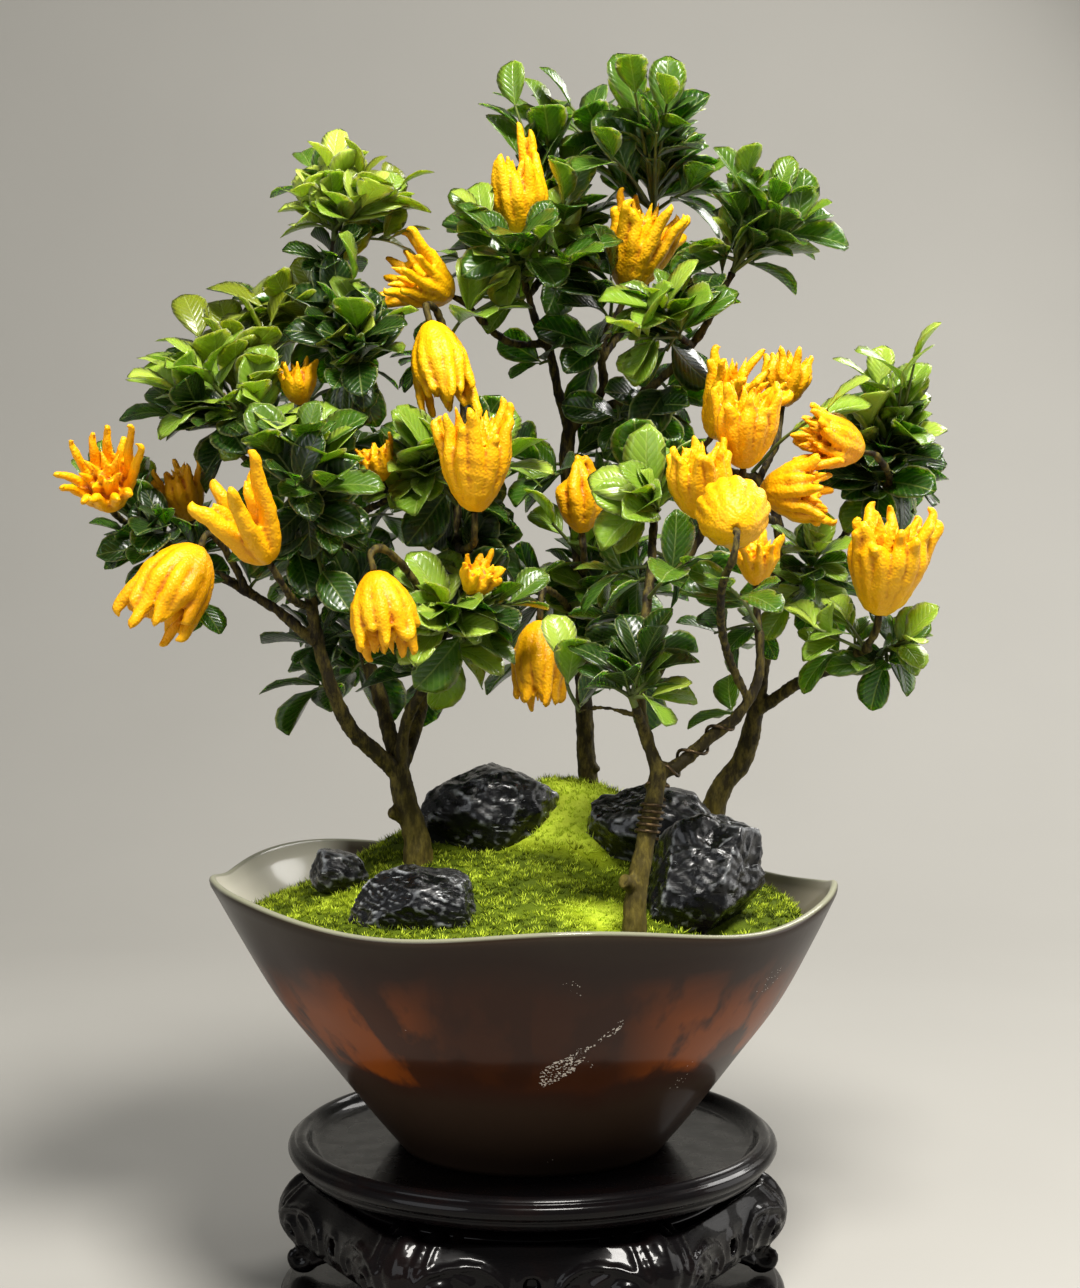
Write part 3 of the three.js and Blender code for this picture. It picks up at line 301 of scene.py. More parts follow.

# The frame's sprays: a tone for each shoot, partly leaf age and partly painted light and shade,
# then where its leaves stand and how many it has
SPRAYS = {
    "top_left": ("mmmdbbbdd", (
        (5, 92, 856, 7), (-24, 84, 826, 6), (32, 98, 818, 6), (37, 66, 775, 4), (19, 32, 736, 5),
        (-24, 22, 707, 5), (-42, -8, 699, 4), (-2, 150, 804, 6), (-39, 150, 753, 5),
    )),
    "top_right": ("modmdd", (
        (66, 100, 840, 6), (93, 104, 872, 8), (124, 96, 815, 6), (85, 58, 790, 4),
        (79, 160, 835, 6), (123, 150, 782, 5),
    )),
    "right_high": ("mmbmmd", (
        (147, 44, 787, 6), (193, 24, 745, 7), (128, 6, 742, 4), (180, 60, 712, 5),
        (114, 12, 719, 3), (171, 110, 755, 6),
    )),
    "centre": ("mbddm", (
        (88, 18, 700, 6), (61, 4, 650, 4), (120, 20, 690, 4), (73, 12, 613, 4), (46, 10, 680, 3),
    )),
    "middle": ("bbmbdmddd", (
        (-8, 40, 559, 5), (64, 34, 566, 6), (52, 14, 487, 5), (6, 40, 444, 4), (50, 52, 417, 5),
        (14, 30, 493, 4), (88, 120, 517, 5), (14, 152, 530, 5), (70, 150, 442, 5),
    )),
    "middle_right": ("bmmbd", (
        (62, -100, 545, 5), (80, -46, 592, 6), (57, -30, 584, 4), (58, -80, 506, 3),
        (90, -30, 564, 4),
    )),
    "low_front": ("ddmbd", (
        (82, -150, 487, 5), (45, -138, 465, 4), (96, -150, 458, 4), (104, -150, 422, 4),
        (36, -140, 437, 3),
    )),
    "left_top": ("yyoybbmd", (
        (-166, 16, 782, 8), (-139, 30, 810, 7), (-96, 18, 797, 6), (-181, 22, 755, 6),
        (-63, 24, 758, 8), (-116, -6, 745, 6), (-168, 110, 805, 6), (-96, 110, 762, 6),
    )),
    "left_column": ("dboddd", (
        (-142, -26, 702, 6), (-98, -24, 692, 6), (-156, -34, 668, 5), (-105, -50, 641, 5),
        (-134, -58, 610, 5), (-119, -50, 675, 5),
    )),
    "far_left_high": ("ooobbbddo", (
        (-215, 20, 687, 6), (-193, -16, 655, 5), (-168, 6, 702, 4), (-268, -56, 629, 6),
        (-241, -50, 655, 7), (-205, -64, 633, 5), (-229, -66, 590, 6), (-278, -36, 602, 4),
        (-238, 90, 667, 6),
    )),
    "left_crown": ("mmbdmddd", (
        (-185, -88, 600, 6), (-142, -84, 619, 7), (-111, -92, 590, 6), (-150, -136, 562, 4),
        (-116, -130, 556, 4), (-136, -116, 520, 5), (-121, -104, 500, 5), (-126, -96, 462, 4),
    )),
    "far_left": ("mddddmd", (
        (-324, -4, 572, 6), (-273, -66, 500, 6), (-236, -78, 544, 5), (-309, -26, 525, 4),
        (-202, -66, 448, 4), (-276, 20, 586, 5), (-249, 60, 531, 5),
    )),
    "left_low": ("bbbmdd", (
        (-64, -100, 498, 5), (-30, -98, 453, 5), (-68, -100, 440, 4), (-21, -78, 423, 4),
        (-14, -60, 478, 5), (-104, -84, 423, 3),
    )),
    "centre_left": ("bmddb", (
        (-86, -50, 564, 6), (-74, -50, 604, 5), (-27, -34, 510, 4), (-9, 36, 605, 3),
        (-66, -84, 583, 4),
    )),
    "right_top": ("bbymddmdd", (
        (257, 34, 633, 7), (239, 40, 664, 6), (215, 4, 622, 5), (282, 44, 606, 5),
        (262, 20, 584, 6), (298, 48, 540, 6), (232, 28, 512, 4), (239, 120, 619, 6),
        (278, 130, 568, 6),
    )),
    "right_middle": ("bdbbmd", (
        (197, -10, 525, 4), (185, -46, 505, 5), (175, -28, 457, 5), (206, 14, 462, 4),
        (156, -6, 440, 4), (222, 96, 455, 6),
    )),
    "right_low": ("bdmmm", (
        (258, -84, 460, 5), (238, -44, 416, 6), (268, -50, 443, 4), (205, -70, 420, 3),
        (268, 20, 449, 5),
    )),
}

# Shoots that only the looks have, between those of the frame and in the same form. Each grows from
# the nearest wood
MORE_SHOOTS = {
    "left_top": ("yobommoddobdd", (
        (-100, 0, 759, 5), (-73, 30, 773, 3), (-48, 15, 750, 4), (-112, 20, 705, 3),
        (-98, 30, 668, 3), (-56, 20, 749, 4), (-77, 40, 725, 5), (-138, -10, 708, 5),
        (-128, -5, 674, 6), (-158, 5, 681, 4), (-104, -35, 694, 3), (-138, 0, 647, 5),
        (-97, 10, 647, 5),
    )),
    "far_left_high": ("oooobdd", (
        (-238, 10, 672, 4), (-206, 14, 674, 5), (-170, 12, 664, 4), (-199, 10, 637, 3),
        (-260, -5, 640, 4), (-240, 5, 599, 3), (-219, -10, 586, 5),
    )),
    "left_crown": ("bbbbbb", (
        (-158, -60, 599, 6), (-185, -50, 613, 4), (-131, -50, 586, 5), (-94, -50, 572, 5),
        (-70, -40, 558, 4), (-97, -30, 545, 4),
    )),
    "far_left": ("mdmd", (
        (-300, -10, 575, 4), (-284, -20, 514, 3), (-257, 20, 524, 4), (-223, -20, 518, 4),
    )),
    "left_low": ("ddmdddd", (
        (-158, -70, 511, 5), (-117, -60, 521, 5), (-182, -30, 494, 4), (-145, -20, 450, 6),
        (-145, -25, 420, 5), (-158, 0, 477, 5), (-124, 10, 477, 5),
    )),
    "centre_left": ("bbbddddm", (
        (-66, -70, 484, 5), (-73, -70, 450, 3), (-36, -60, 436, 5), (-77, -30, 429, 4),
        (-29, -20, 484, 5), (-22, 10, 518, 6), (-43, 10, 504, 5), (-36, 30, 575, 4),
    )),
    "top_right": ("mmmmmmd", (
        (-18, 84, 846, 4), (12, 84, 842, 5), (46, 15, 788, 4), (25, 20, 766, 4), (66, 0, 834, 4),
        (92, 0, 826, 5), (84, 5, 806, 4),
    )),
    "right_high": ("mmmd", (
        (146, 5, 780, 5), (176, 5, 766, 5), (200, 0, 744, 5), (118, 30, 704, 4),
    )),
    "centre": ("mmmbbbmddddd", (
        (-22, -20, 722, 5), (8, -30, 725, 4), (36, -20, 705, 4), (-29, 0, 688, 4),
        (80, -30, 681, 6), (59, -40, 650, 3), (100, -20, 660, 4), (-5, 50, 637, 3),
        (42, 50, 650, 4), (100, 50, 613, 4), (54, 20, 714, 4), (42, 30, 690, 3),
    )),
    "middle": ("bddm", (
        (2, -10, 565, 5), (59, 40, 582, 5), (87, 40, 586, 5), (70, -10, 562, 4),
    )),
    "low_front": ("bmmmbdddddmdmmd", (
        (80, -70, 535, 5), (32, -60, 494, 5), (59, -70, 490, 5), (8, -50, 484, 4),
        (14, -92, 462, 3), (114, -40, 490, 5), (46, -30, 450, 6), (73, -40, 436, 6),
        (39, -40, 416, 3), (80, -40, 412, 3), (124, -60, 405, 3), (107, 20, 450, 3),
        (98, -176, 512, 4), (112, -186, 500, 5), (127, 20, 504, 3),
    )),
    "right_top": ("bbbddd", (
        (253, -5, 640, 4), (262, -10, 655, 3), (209, -40, 616, 3), (243, 5, 592, 4),
        (236, 5, 558, 5), (223, 20, 579, 5),
    )),
    "right_low": ("bbbmmd", (
        (195, -40, 518, 4), (195, -40, 484, 4), (165, -50, 470, 4), (175, -30, 450, 4),
        (216, -20, 463, 3), (141, 20, 450, 3),
    )),
}

# The rocks: centre, half sizes and lean
ROCKS = {
    "rock_back_left": ((-34, 50, 322), (50, 41, 42), 0.25),
    "rock_small_left": ((-131, -20, 292), (20, 16, 19), -0.2),
    "rock_front_left": ((-73, -98, 282), (44, 31, 30), 0.1),
    "rock_back_right": ((90, 16, 311), (52, 34, 42), -0.2),
    "rock_front_right": ((111, -73, 296), (42, 33, 49), 0.25),
}

# Lights: place, height that it is aimed at, width, share of the key's power and colour, in metres
LIGHTS = {
    "key": ((0.35, -1.1, 2.3), 0.5, 0.7, 1, (1.0, 0.97, 0.92)),
    "fill": ((-2.0, -1.8, 1.3), 0.5, 1.8, 0.2, (0.93, 0.96, 1.0)),
    "rim": ((1.4, 1.6, 1.9), 0.5, 1.0, 0.35, (1.0, 0.98, 0.95)),
    "side": ((2.3, 0.5, 0.7), 0.25, 1.6, 0.16, (1.0, 0.98, 0.96)),
}
# The floor in metres: its front edge, where it turns up and how wide, its top and half its width
FLOOR = {"front": -4.0, "turn": 1.2, "curve": 1.2, "top": 6.0, "half": 6.0}

# Numbers and paths


def draw(a, b, c):
    """A repeatable draw between 0 and 1 from three numbers, as in the frame's source."""
    value = math.sin(a * 12.9898 + b * 78.233 + c * 37.719) * 43758.5453
    return value - math.floor(value)


def mix(low, high, share):
    return low + (high - low) * share


def smoothstep(low, high, value):
    share = min(1.0, max(0.0, (value - low) / (high - low)))
    return share * share * (3 - 2 * share)


def square_to(axis):
    """Two directions square to an axis, the first as level as it can be."""
    helper = Vector((0, 1, 0)) if abs(axis.z) > 0.95 else Vector((0, 0, 1))
    across = helper.cross(axis).normalized()
    return across, axis.cross(across).normalized()


def smooth_path(points, per_span=6):
    """Points along one smooth curve through all the given ones."""
    rows = np.array([tuple(p) for p in points], float)
    if len(rows) < 3:
        shares = np.linspace(0, 1, per_span + 1)[:, None]
        return rows[0] * (1 - shares) + rows[-1] * shares
    ends = np.vstack([2 * rows[0] - rows[1], rows, 2 * rows[-1] - rows[-2]])
    found = []
    for i in range(1, len(ends) - 2):
        p0, p1, p2, p3 = ends[i - 1:i + 3]
        for step in range(per_span):
            t = step / per_span
            found.append(0.5 * (2 * p1 + (p2 - p0) * t + (2 * p0 - 5 * p1 + 4 * p2 - p3) * t * t
                                + (3 * p1 - p0 - 3 * p2 + p3) * t ** 3))
    found.append(rows[-1])
    return np.array(found)


def on_circle(radius, k, sides):
    """Place k of those that lie evenly on a circle."""
    angle = k / sides * TURN
    return radius * math.cos(angle), radius * math.sin(angle)


def level_way(angle):
    """The level direction at an angle round the axis."""
    return Vector((math.cos(angle), math.sin(angle), 0))


def spoke(across, over, angle):
    """A direction at an angle from one of two that are square to each other."""
    return across * math.cos(angle) + over * math.sin(angle)


def nearest_share(place, start, end):
    """How far along a straight line the point lies that is nearest to a place."""
    return (place - start).dot(end - start) / (end - start).length_squared


def spread_over(values, count):
    """A few values spread evenly over a count of places."""
    return np.interp(np.linspace(0, len(values) - 1, count), range(len(values)), values)


def mound_height(x, y):
    """Height of the moss over the soil mound, in millimetres."""
    dx, dy = x - MOSS["peak_x"], y - MOSS["peak_y"]
    spread_x = MOSS_SPREAD["right" if dx > 0 else "left"]
    spread_y = MOSS_SPREAD["back" if dy > 0 else "front"]
    share = math.exp(-dx * dx / (2 * spread_x ** 2) - dy * dy / (2 * spread_y ** 2))
    inward = max(0.0, 1 - (x * x + y * y) / MOSS["edge"] ** 2)
    sunk = sum(depth * math.exp(-((x - dip_x) ** 2 + (y - dip_y) ** 2) / (2 * radius * radius))
               for dip_x, dip_y, depth, radius in DIPS)
    return MOSS["edge_height"] + MOSS["peak"] * share * min(1, inward * 1.6) + 10 * inward - sunk


def rim_wave(angle):
    lobed = RUFFLE["high"] * math.cos(RUFFLE["lobes"] * (angle - math.radians(RUFFLE["at"])))
    tilted = RUFFLE["tilt"] * math.cos(angle - math.radians(RUFFLE["tilt_at"]))
    return lobed + tilted + RUFFLE["lift"]


def pot_point(radius, height, angle):
    share = min(1.05, max(0.0, (height - STAND["floor"]) / POT["height"]))
    ruffled = share ** 4
    rise = rim_wave(angle)
    radius *= 1 + 0.012 * ruffled * math.cos(RUFFLE["lobes"] * angle)
    for middle, width, up, out in RIM_RISES:
        away = math.degrees(math.remainder(angle - math.radians(middle), TURN)) / width
        rise += up * math.exp(-away * away)
        radius += out * math.exp(-away * away) * share ** 6
    return (POT["shift"] * share ** 2 + math.cos(angle) * radius,
            math.sin(angle) * radius, height + rise * ruffled)


# Meshes


def linked(name, data, collection=None):
    """An object of some mesh, lamp or camera, linked to the scene or to a collection."""
    made = bpy.data.objects.new(name, data)
    (collection or bpy.context.scene.collection).objects.link(made)
    return made


def mesh_object(name, points, faces, collection=None):
    """A smooth shaded object from points in millimetres."""
    mesh = bpy.data.meshes.new(name)
    mesh.from_pydata([tuple(c * MM for c in p) for p in points], [], [tuple(f) for f in faces])
    mesh.update()
    set_smooth(mesh)
    return linked(name, mesh, collection)


def mesh_from(name, builder):
    """A mesh with what a mesh builder holds; the builder is used up."""
    mesh = bpy.data.meshes.new(name)
    builder.to_mesh(mesh)
    builder.free()
    return mesh


def set_smooth(mesh):
    mesh.polygons.foreach_set("use_smooth", np.ones(len(mesh.polygons), bool))
    mesh.update()


def turned(name, profile, sides):
    """A turned piece from a profile of radius and height that starts and ends on the axis."""
    inner = [p for p in profile if p[0] > 0]
    points = [(0, 0, profile[0][1]), (0, 0, profile[-1][1])]
    for radius, height in inner:
        points += [(*on_circle(radius, k, sides), height) for k in range(sides)]
    return mesh_object(name, points, ring_faces(len(inner), sides))


def ring_faces(rings, sides):
    """Faces through rings that follow two pole points, closed by a fan at each pole."""
    at = lambda ring, k: 2 + ring * sides + k % sides
    faces = [(0, at(0, k + 1), at(0, k)) for k in range(sides)]
    for ring in range(rings - 1):
        faces += [(at(ring, k), at(ring, k + 1), at(ring + 1, k + 1), at(ring + 1, k))
                  for k in range(sides)]
    return faces + [(1, at(rings - 1, k), at(rings - 1, k + 1)) for k in range(sides)]


def rounded(profile, radius, steps=3):
    """The profile with each inner corner turned into a short curve."""
    rows = [np.array(p, float) for p in profile]
    found = [rows[0]]
    for before, corner, after in zip(rows, rows[1:], rows[2:]):
        to_before, to_after = before - corner, after - corner
        reach = min(radius, 0.45 * np.linalg.norm(to_before), 0.45 * np.linalg.norm(to_after))
        start = corner + to_before / np.linalg.norm(to_before) * reach
        end = corner + to_after / np.linalg.norm(to_after) * reach
        for step in range(steps + 1):
            t = step / steps
            found.append(start * (1 - t) ** 2 + corner * 2 * t * (1 - t) + end * t * t)
    return [*found, rows[-1]]


def vertex_array(mesh):
    rows = np.empty(len(mesh.vertices) * 3, np.float32)
    mesh.vertices.foreach_get("co", rows)
    return rows.reshape(-1, 3)


def normal_array(mesh):
    rows = np.empty(len(mesh.vertices) * 3, np.float32)
    mesh.vertex_normals.foreach_get("vector", rows)
    return rows.reshape(-1, 3)


def set_vertices(mesh, rows):
    mesh.vertices.foreach_set("co", rows.astype(np.float32).ravel())
    mesh.update()


def pushed(mesh, height_at):
    """Moves each vertex along its normal by a height in millimetres that its place gives."""
    rows = vertex_array(mesh)
    heights = np.array([height_at(Vector(p)) for p in rows / MM])
    set_vertices(mesh, rows + normal_array(mesh) * heights[:, None] * MM)


def baked(made):
    """The object as a plain mesh, with its modifiers used up."""
    graph = bpy.context.evaluated_depsgraph_get()
    mesh = bpy.data.meshes.new_from_object(made.evaluated_get(graph))
    made.modifiers.clear()
    made.data = mesh
    if len(mesh.materials) > 1 and mesh.materials[0] is None:
        mesh.materials.pop(index=0)
    return made


def melted(made, voxel):
    """Pieces that run into each other become one skin, whose joins are eased."""
    remesh = made.modifiers.new("Melt", "REMESH")
    remesh.mode = "VOXEL"
    remesh.voxel_size = voxel
    remesh.use_smooth_shade = True
    ease = made.modifiers.new("Ease", "SMOOTH")
    ease.factor = 0.5
    ease.iterations = 2
    return baked(made)


def thinned(made, kind):
    """Leaves a share of a skin's faces, most of them where it bends."""
    made.modifiers.new("Thin", "DECIMATE").ratio = KEPT_FACES[kind]
    return baked(made)


def set_attribute(mesh, name, values, kind="FLOAT"):
    field = "vector" if kind == "FLOAT_VECTOR" else "value"
    data_type = np.int32 if kind == "INT" else np.float32
    made = mesh.attributes.new(name, kind, "POINT")
    made.data.foreach_set(field, np.array(values, data_type).ravel())


def mark_hollows(mesh, gain=2.2, rounds=2):
    """Marks how deep each vertex lies in a groove: 0 on a ridge, 0.5 on a flat, 1 deep down."""
    rows, normals = vertex_array(mesh), normal_array(mesh)
    pairs = np.empty(len(mesh.edges) * 2, np.int32)
    mesh.edges.foreach_get("vertices", pairs)
    first, second = pairs.reshape(-1, 2).T
    way = rows[second] - rows[first]
    way /= np.maximum(1e-9, np.linalg.norm(way, axis=1))[:, None]
    count = np.bincount(pairs, minlength=len(rows)) + 1e-6
    bend = np.bincount(first, (way * normals[first]).sum(1), len(rows))
    bend -= np.bincount(second, (way * normals[second]).sum(1), len(rows))
    bend /= count
    for _ in range(rounds):
        near = np.bincount(first, bend[second], len(rows))
        near += np.bincount(second, bend[first], len(rows))
        bend = 0.4 * bend + 0.6 * near / count
    set_attribute(mesh, "hollow", np.clip(0.5 + gain * bend, 0, 1))


def dress(made, material):
    made.data.materials.clear()
    made.data.materials.append(material)


def finish(made, nodes, material=None):
    """Dresses a piece, which rides on the one body and stands for its CAD nodes."""
    if material:
        dress(made, material)
    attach(made, BODY)
    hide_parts(*nodes)


# Node trees


def add(tree, kind, inputs=None, **fields):
    """A node in a tree. Sockets and nodes among its inputs are linked, other values are set."""
    made = tree.nodes.new(kind)
    for field, value in fields.items():
        setattr(made, field, value)
    for key, value in (inputs or {}).items():
        if isinstance(value, bpy.types.Node):
            value = value.outputs[0]
        if isinstance(value, bpy.types.NodeSocket):
            tree.links.new(value, made.inputs[key])
        else:
            made.inputs[key].default_value = value
    return made


def math_node(operation):
    """A function that adds a math node of one kind and returns its value."""
    def added(tree, first, second=0.0, third=0.0):
        made = add(tree, "ShaderNodeMath", {0: first, 1: second, 2: third}, operation=operation)
        return made.outputs["Value"]
    return added


times, plus, minus = math_node("MULTIPLY"), math_node("ADD"), math_node("SUBTRACT")
times_plus, parted, raised = math_node("MULTIPLY_ADD"), math_node("DIVIDE"), math_node("POWER")
unsigned, larger, wave_of = math_node("ABSOLUTE"), math_node("MAXIMUM"), math_node("SINE")
above, below = math_node("GREATER_THAN"), math_node("LESS_THAN")


def geometry_tree(name, sockets):
    """An empty geometry tree with named inputs, and its input node."""
    tree = bpy.data.node_groups.new(name, "GeometryNodeTree")
    tree.interface.new_socket("Geometry", in_out="INPUT", socket_type="NodeSocketGeometry")
    for label, kind, default in sockets:
        made = tree.interface.new_socket(label, in_out="INPUT", socket_type="NodeSocket" + kind)
        if default is not None:
            made.default_value = default
    tree.interface.new_socket("Geometry", in_out="OUTPUT", socket_type="NodeSocketGeometry")
    return tree, tree.nodes.new("NodeGroupInput").outputs


def close_tree(tree, parts):
    """Joins the parts of a tree, each a geometry and its material, into the tree's output."""
    join = tree.nodes.new("GeometryNodeJoinGeometry")
    for geometry, material in parts:
        real = add(tree, "GeometryNodeRealizeInstances", {"Geometry": geometry})
        dressed = add(tree, "GeometryNodeSetMaterial", {"Geometry": real, "Material": material})
        tree.links.new(dressed.outputs["Geometry"], join.inputs["Geometry"])
    output = tree.nodes.new("NodeGroupOutput")
    tree.links.new(join.outputs["Geometry"], output.inputs["Geometry"])


def named(tree, name, kind="FLOAT"):
    made = add(tree, "GeometryNodeInputNamedAttribute", {"Name": name}, data_type=kind)
    return made.outputs["Attribute"]


def tubes_in(tree, paths, sides):
    """Tubes along a mesh's edges, as thick as their girth attribute."""
    curve = add(tree, "GeometryNodeMeshToCurve", {"Mesh": paths})
    ring = add(tree, "GeometryNodeCurvePrimitiveCircle", {"Resolution": sides, "Radius": 1.0})
    return add(tree, "GeometryNodeCurveToMesh", {
        "Curve": curve, "Profile Curve": ring, "Scale": named(tree, "girth"), "Fill Caps": True})


def tube_tree():
    """The tree that every limb, finger, scroll and wire is made with."""
    found = bpy.data.node_groups.get("tubes_along_paths")
    if found:
        return found
    tree, sockets = geometry_tree("tubes_along_paths", (
        ("Sides", "Int", 8), ("Material", "Material", None)))
    tubes_there = tubes_in(tree, sockets["Geometry"], sockets["Sides"])
    close_tree(tree, ((tubes_there, sockets["Material"]),))
    return tree


def use_tree(made, tree, **values):
    """Gives an object a geometry tree; its inputs are set by their own identifiers."""
    modifier = made.modifiers.new(tree.name, "NODES")
    modifier.node_group = tree
    for item in tree.interface.items_tree:
        label = item.name.replace(" ", "_").lower()
        if item.in_out == "INPUT" and label in values:
            modifier[item.identifier] = values[label]


def skeleton(name, paths, loose=()):
    """A mesh of bare paths with their girth, and of loose points. Paths are rows and radii."""
    points, edges, girths = [], [], []
    for rows, radii in paths:
        first = len(points)
        points += [tuple(c * MM for c in p) for p in rows]
        edges += [(first + i, first + i + 1) for i in range(len(rows) - 1)]
        girths += [r * MM for r in spread_over(radii, len(rows))]
    points += [tuple(c * MM for c in p) for p in loose]
    mesh = bpy.data.meshes.new(name)
    mesh.from_pydata(points, edges, [])
    set_attribute(mesh, "girth", girths + [0.0] * len(loose))
    return linked(name, mesh)


def tubes(name, paths, sides):
    made = skeleton(name, paths)
    use_tree(made, tube_tree(), sides=sides)
    return baked(made)


# Materials


def colour(code):
    """A hex colour code as linear red, green, blue and alpha."""
    parts = [int(code[i:i + 2], 16) / 255 for i in (1, 3, 5)]
    return (*(c / 12.92 if c <= 0.04045 else ((c + 0.055) / 1.055) ** 2.4 for c in parts), 1.0)


def full_tone(tone):
    """Red, green, blue and alpha for a hex colour code, a grey or a settings colour."""
    if isinstance(tone, str):
        return colour(tone)
    return (tone, tone, tone, 1.0) if isinstance(tone, float) else (*tone, 1.0)


def new_material(name, **values):
    """A material, its tree and the shader in it, whose plain values are set by socket name."""
    material = bpy.data.materials.new(name)
    material.use_nodes = True
    tree = material.node_tree
    shader = tree.nodes["Principled BSDF"]
    for label, value in values.items():
        shader.inputs[label.replace("_", " ").title().replace("Ior", "IOR")].default_value = value
    return material, tree, shader


def object_place(tree, scale=None):
    place = add(tree, "ShaderNodeTexCoord").outputs["Object"]
    if scale:
        place = add(tree, "ShaderNodeMapping", {"Vector": place, "Scale": scale}).outputs["Vector"]
    return place


def apart(tree, place):
    """The three numbers of a place."""
    return add(tree, "ShaderNodeSeparateXYZ", {"Vector": place}).outputs[:]


def noise_in(tree, place, scale, detail=4.0, roughness=0.55, distortion=0.0):
    made = add(tree, "ShaderNodeTexNoise", {
        "Vector": place, "Scale": scale, "Detail": detail, "Roughness": roughness,
        "Distortion": distortion})
    return made.outputs["Fac"]


def cells_in(tree, place, scale, feature="F1"):
    made = add(tree, "ShaderNodeTexVoronoi", {"Vector": place, "Scale": scale}, feature=feature)
    return made.outputs["Distance"]


def ramp(tree, value, stops):
    """A colour ramp through stops of position and colour, or of position and grey."""
    made = add(tree, "ShaderNodeValToRGB", {"Fac": value})
    elements = made.color_ramp.elements
    while len(elements) < len(stops):
        elements.new(1.0)
    for element, (position, tone) in zip(elements, stops):
        element.position = position
        element.color = full_tone(tone)
    return made.outputs["Color"]


def range_in(tree, value, low, high, start=0.0, end=1.0):
    """A value that goes from start to end while another one goes from low to high."""
    made = add(tree, "ShaderNodeMapRange", {
        "Value": value, "From Min": low, "From Max": high, "To Min": start, "To Max": end})
    return made.outputs["Result"]


def marked(tree, name):
    """A number that the mesh carries as an attribute."""
    return add(tree, "ShaderNodeAttribute", attribute_name=name).outputs["Fac"]


def groove_shade_mask(tree, low, high):
    """The marked grooves as a mask that is full in the deep ones, where shade is painted."""
    return ramp(tree, marked(tree, "hollow"), ((low, 0.0), (high, 1.0)))


def mixed(tree, factor, first, second):
    """Two colours mixed; the second may be a plain tone."""
    if not isinstance(second, bpy.types.NodeSocket):
        second = full_tone(second)
    made = add(tree, "ShaderNodeMix", {0: factor, 6: first, 7: second}, data_type="RGBA")
    return made.outputs[2]


def bumped(tree, shader, height, distance, strength=1.0):
    """Bump on a shader; distance is in millimetres."""
    normal = add(tree, "ShaderNodeBump", {
        "Height": height, "Distance": distance * MM, "Strength": strength})
    tree.links.new(normal.outputs["Normal"], shader.inputs["Normal"])


def set_colour(tree, shader, value, socket="Base Color"):
    tree.links.new(value, shader.inputs[socket])


def lacquer_material(settings):
    """Black lacquer over carved wood: a sharp coat, with brown where it has worn thin."""
    material, tree, shader = new_material(
        "lacquer", specular_ior_level=0.06, coat_weight=0.2, coat_roughness=0.04)
    place = object_place(tree)
    worn = ((0.5, settings.lacquer), (0.86, settings.lacquer_worn))
    set_colour(tree, shader, ramp(tree, noise_in(tree, place, 38, detail=6), worn))
    grain = noise_in(tree, object_place(tree, (1, 1, 9)), 60, detail=5)
    set_colour(tree, shader, ramp(tree, grain, ((0.3, 0.2), (0.75, 0.4))), "Roughness")
    bumped(tree, shader, noise_in(tree, place, 160, detail=3), 0.12, 0.35)
    return material


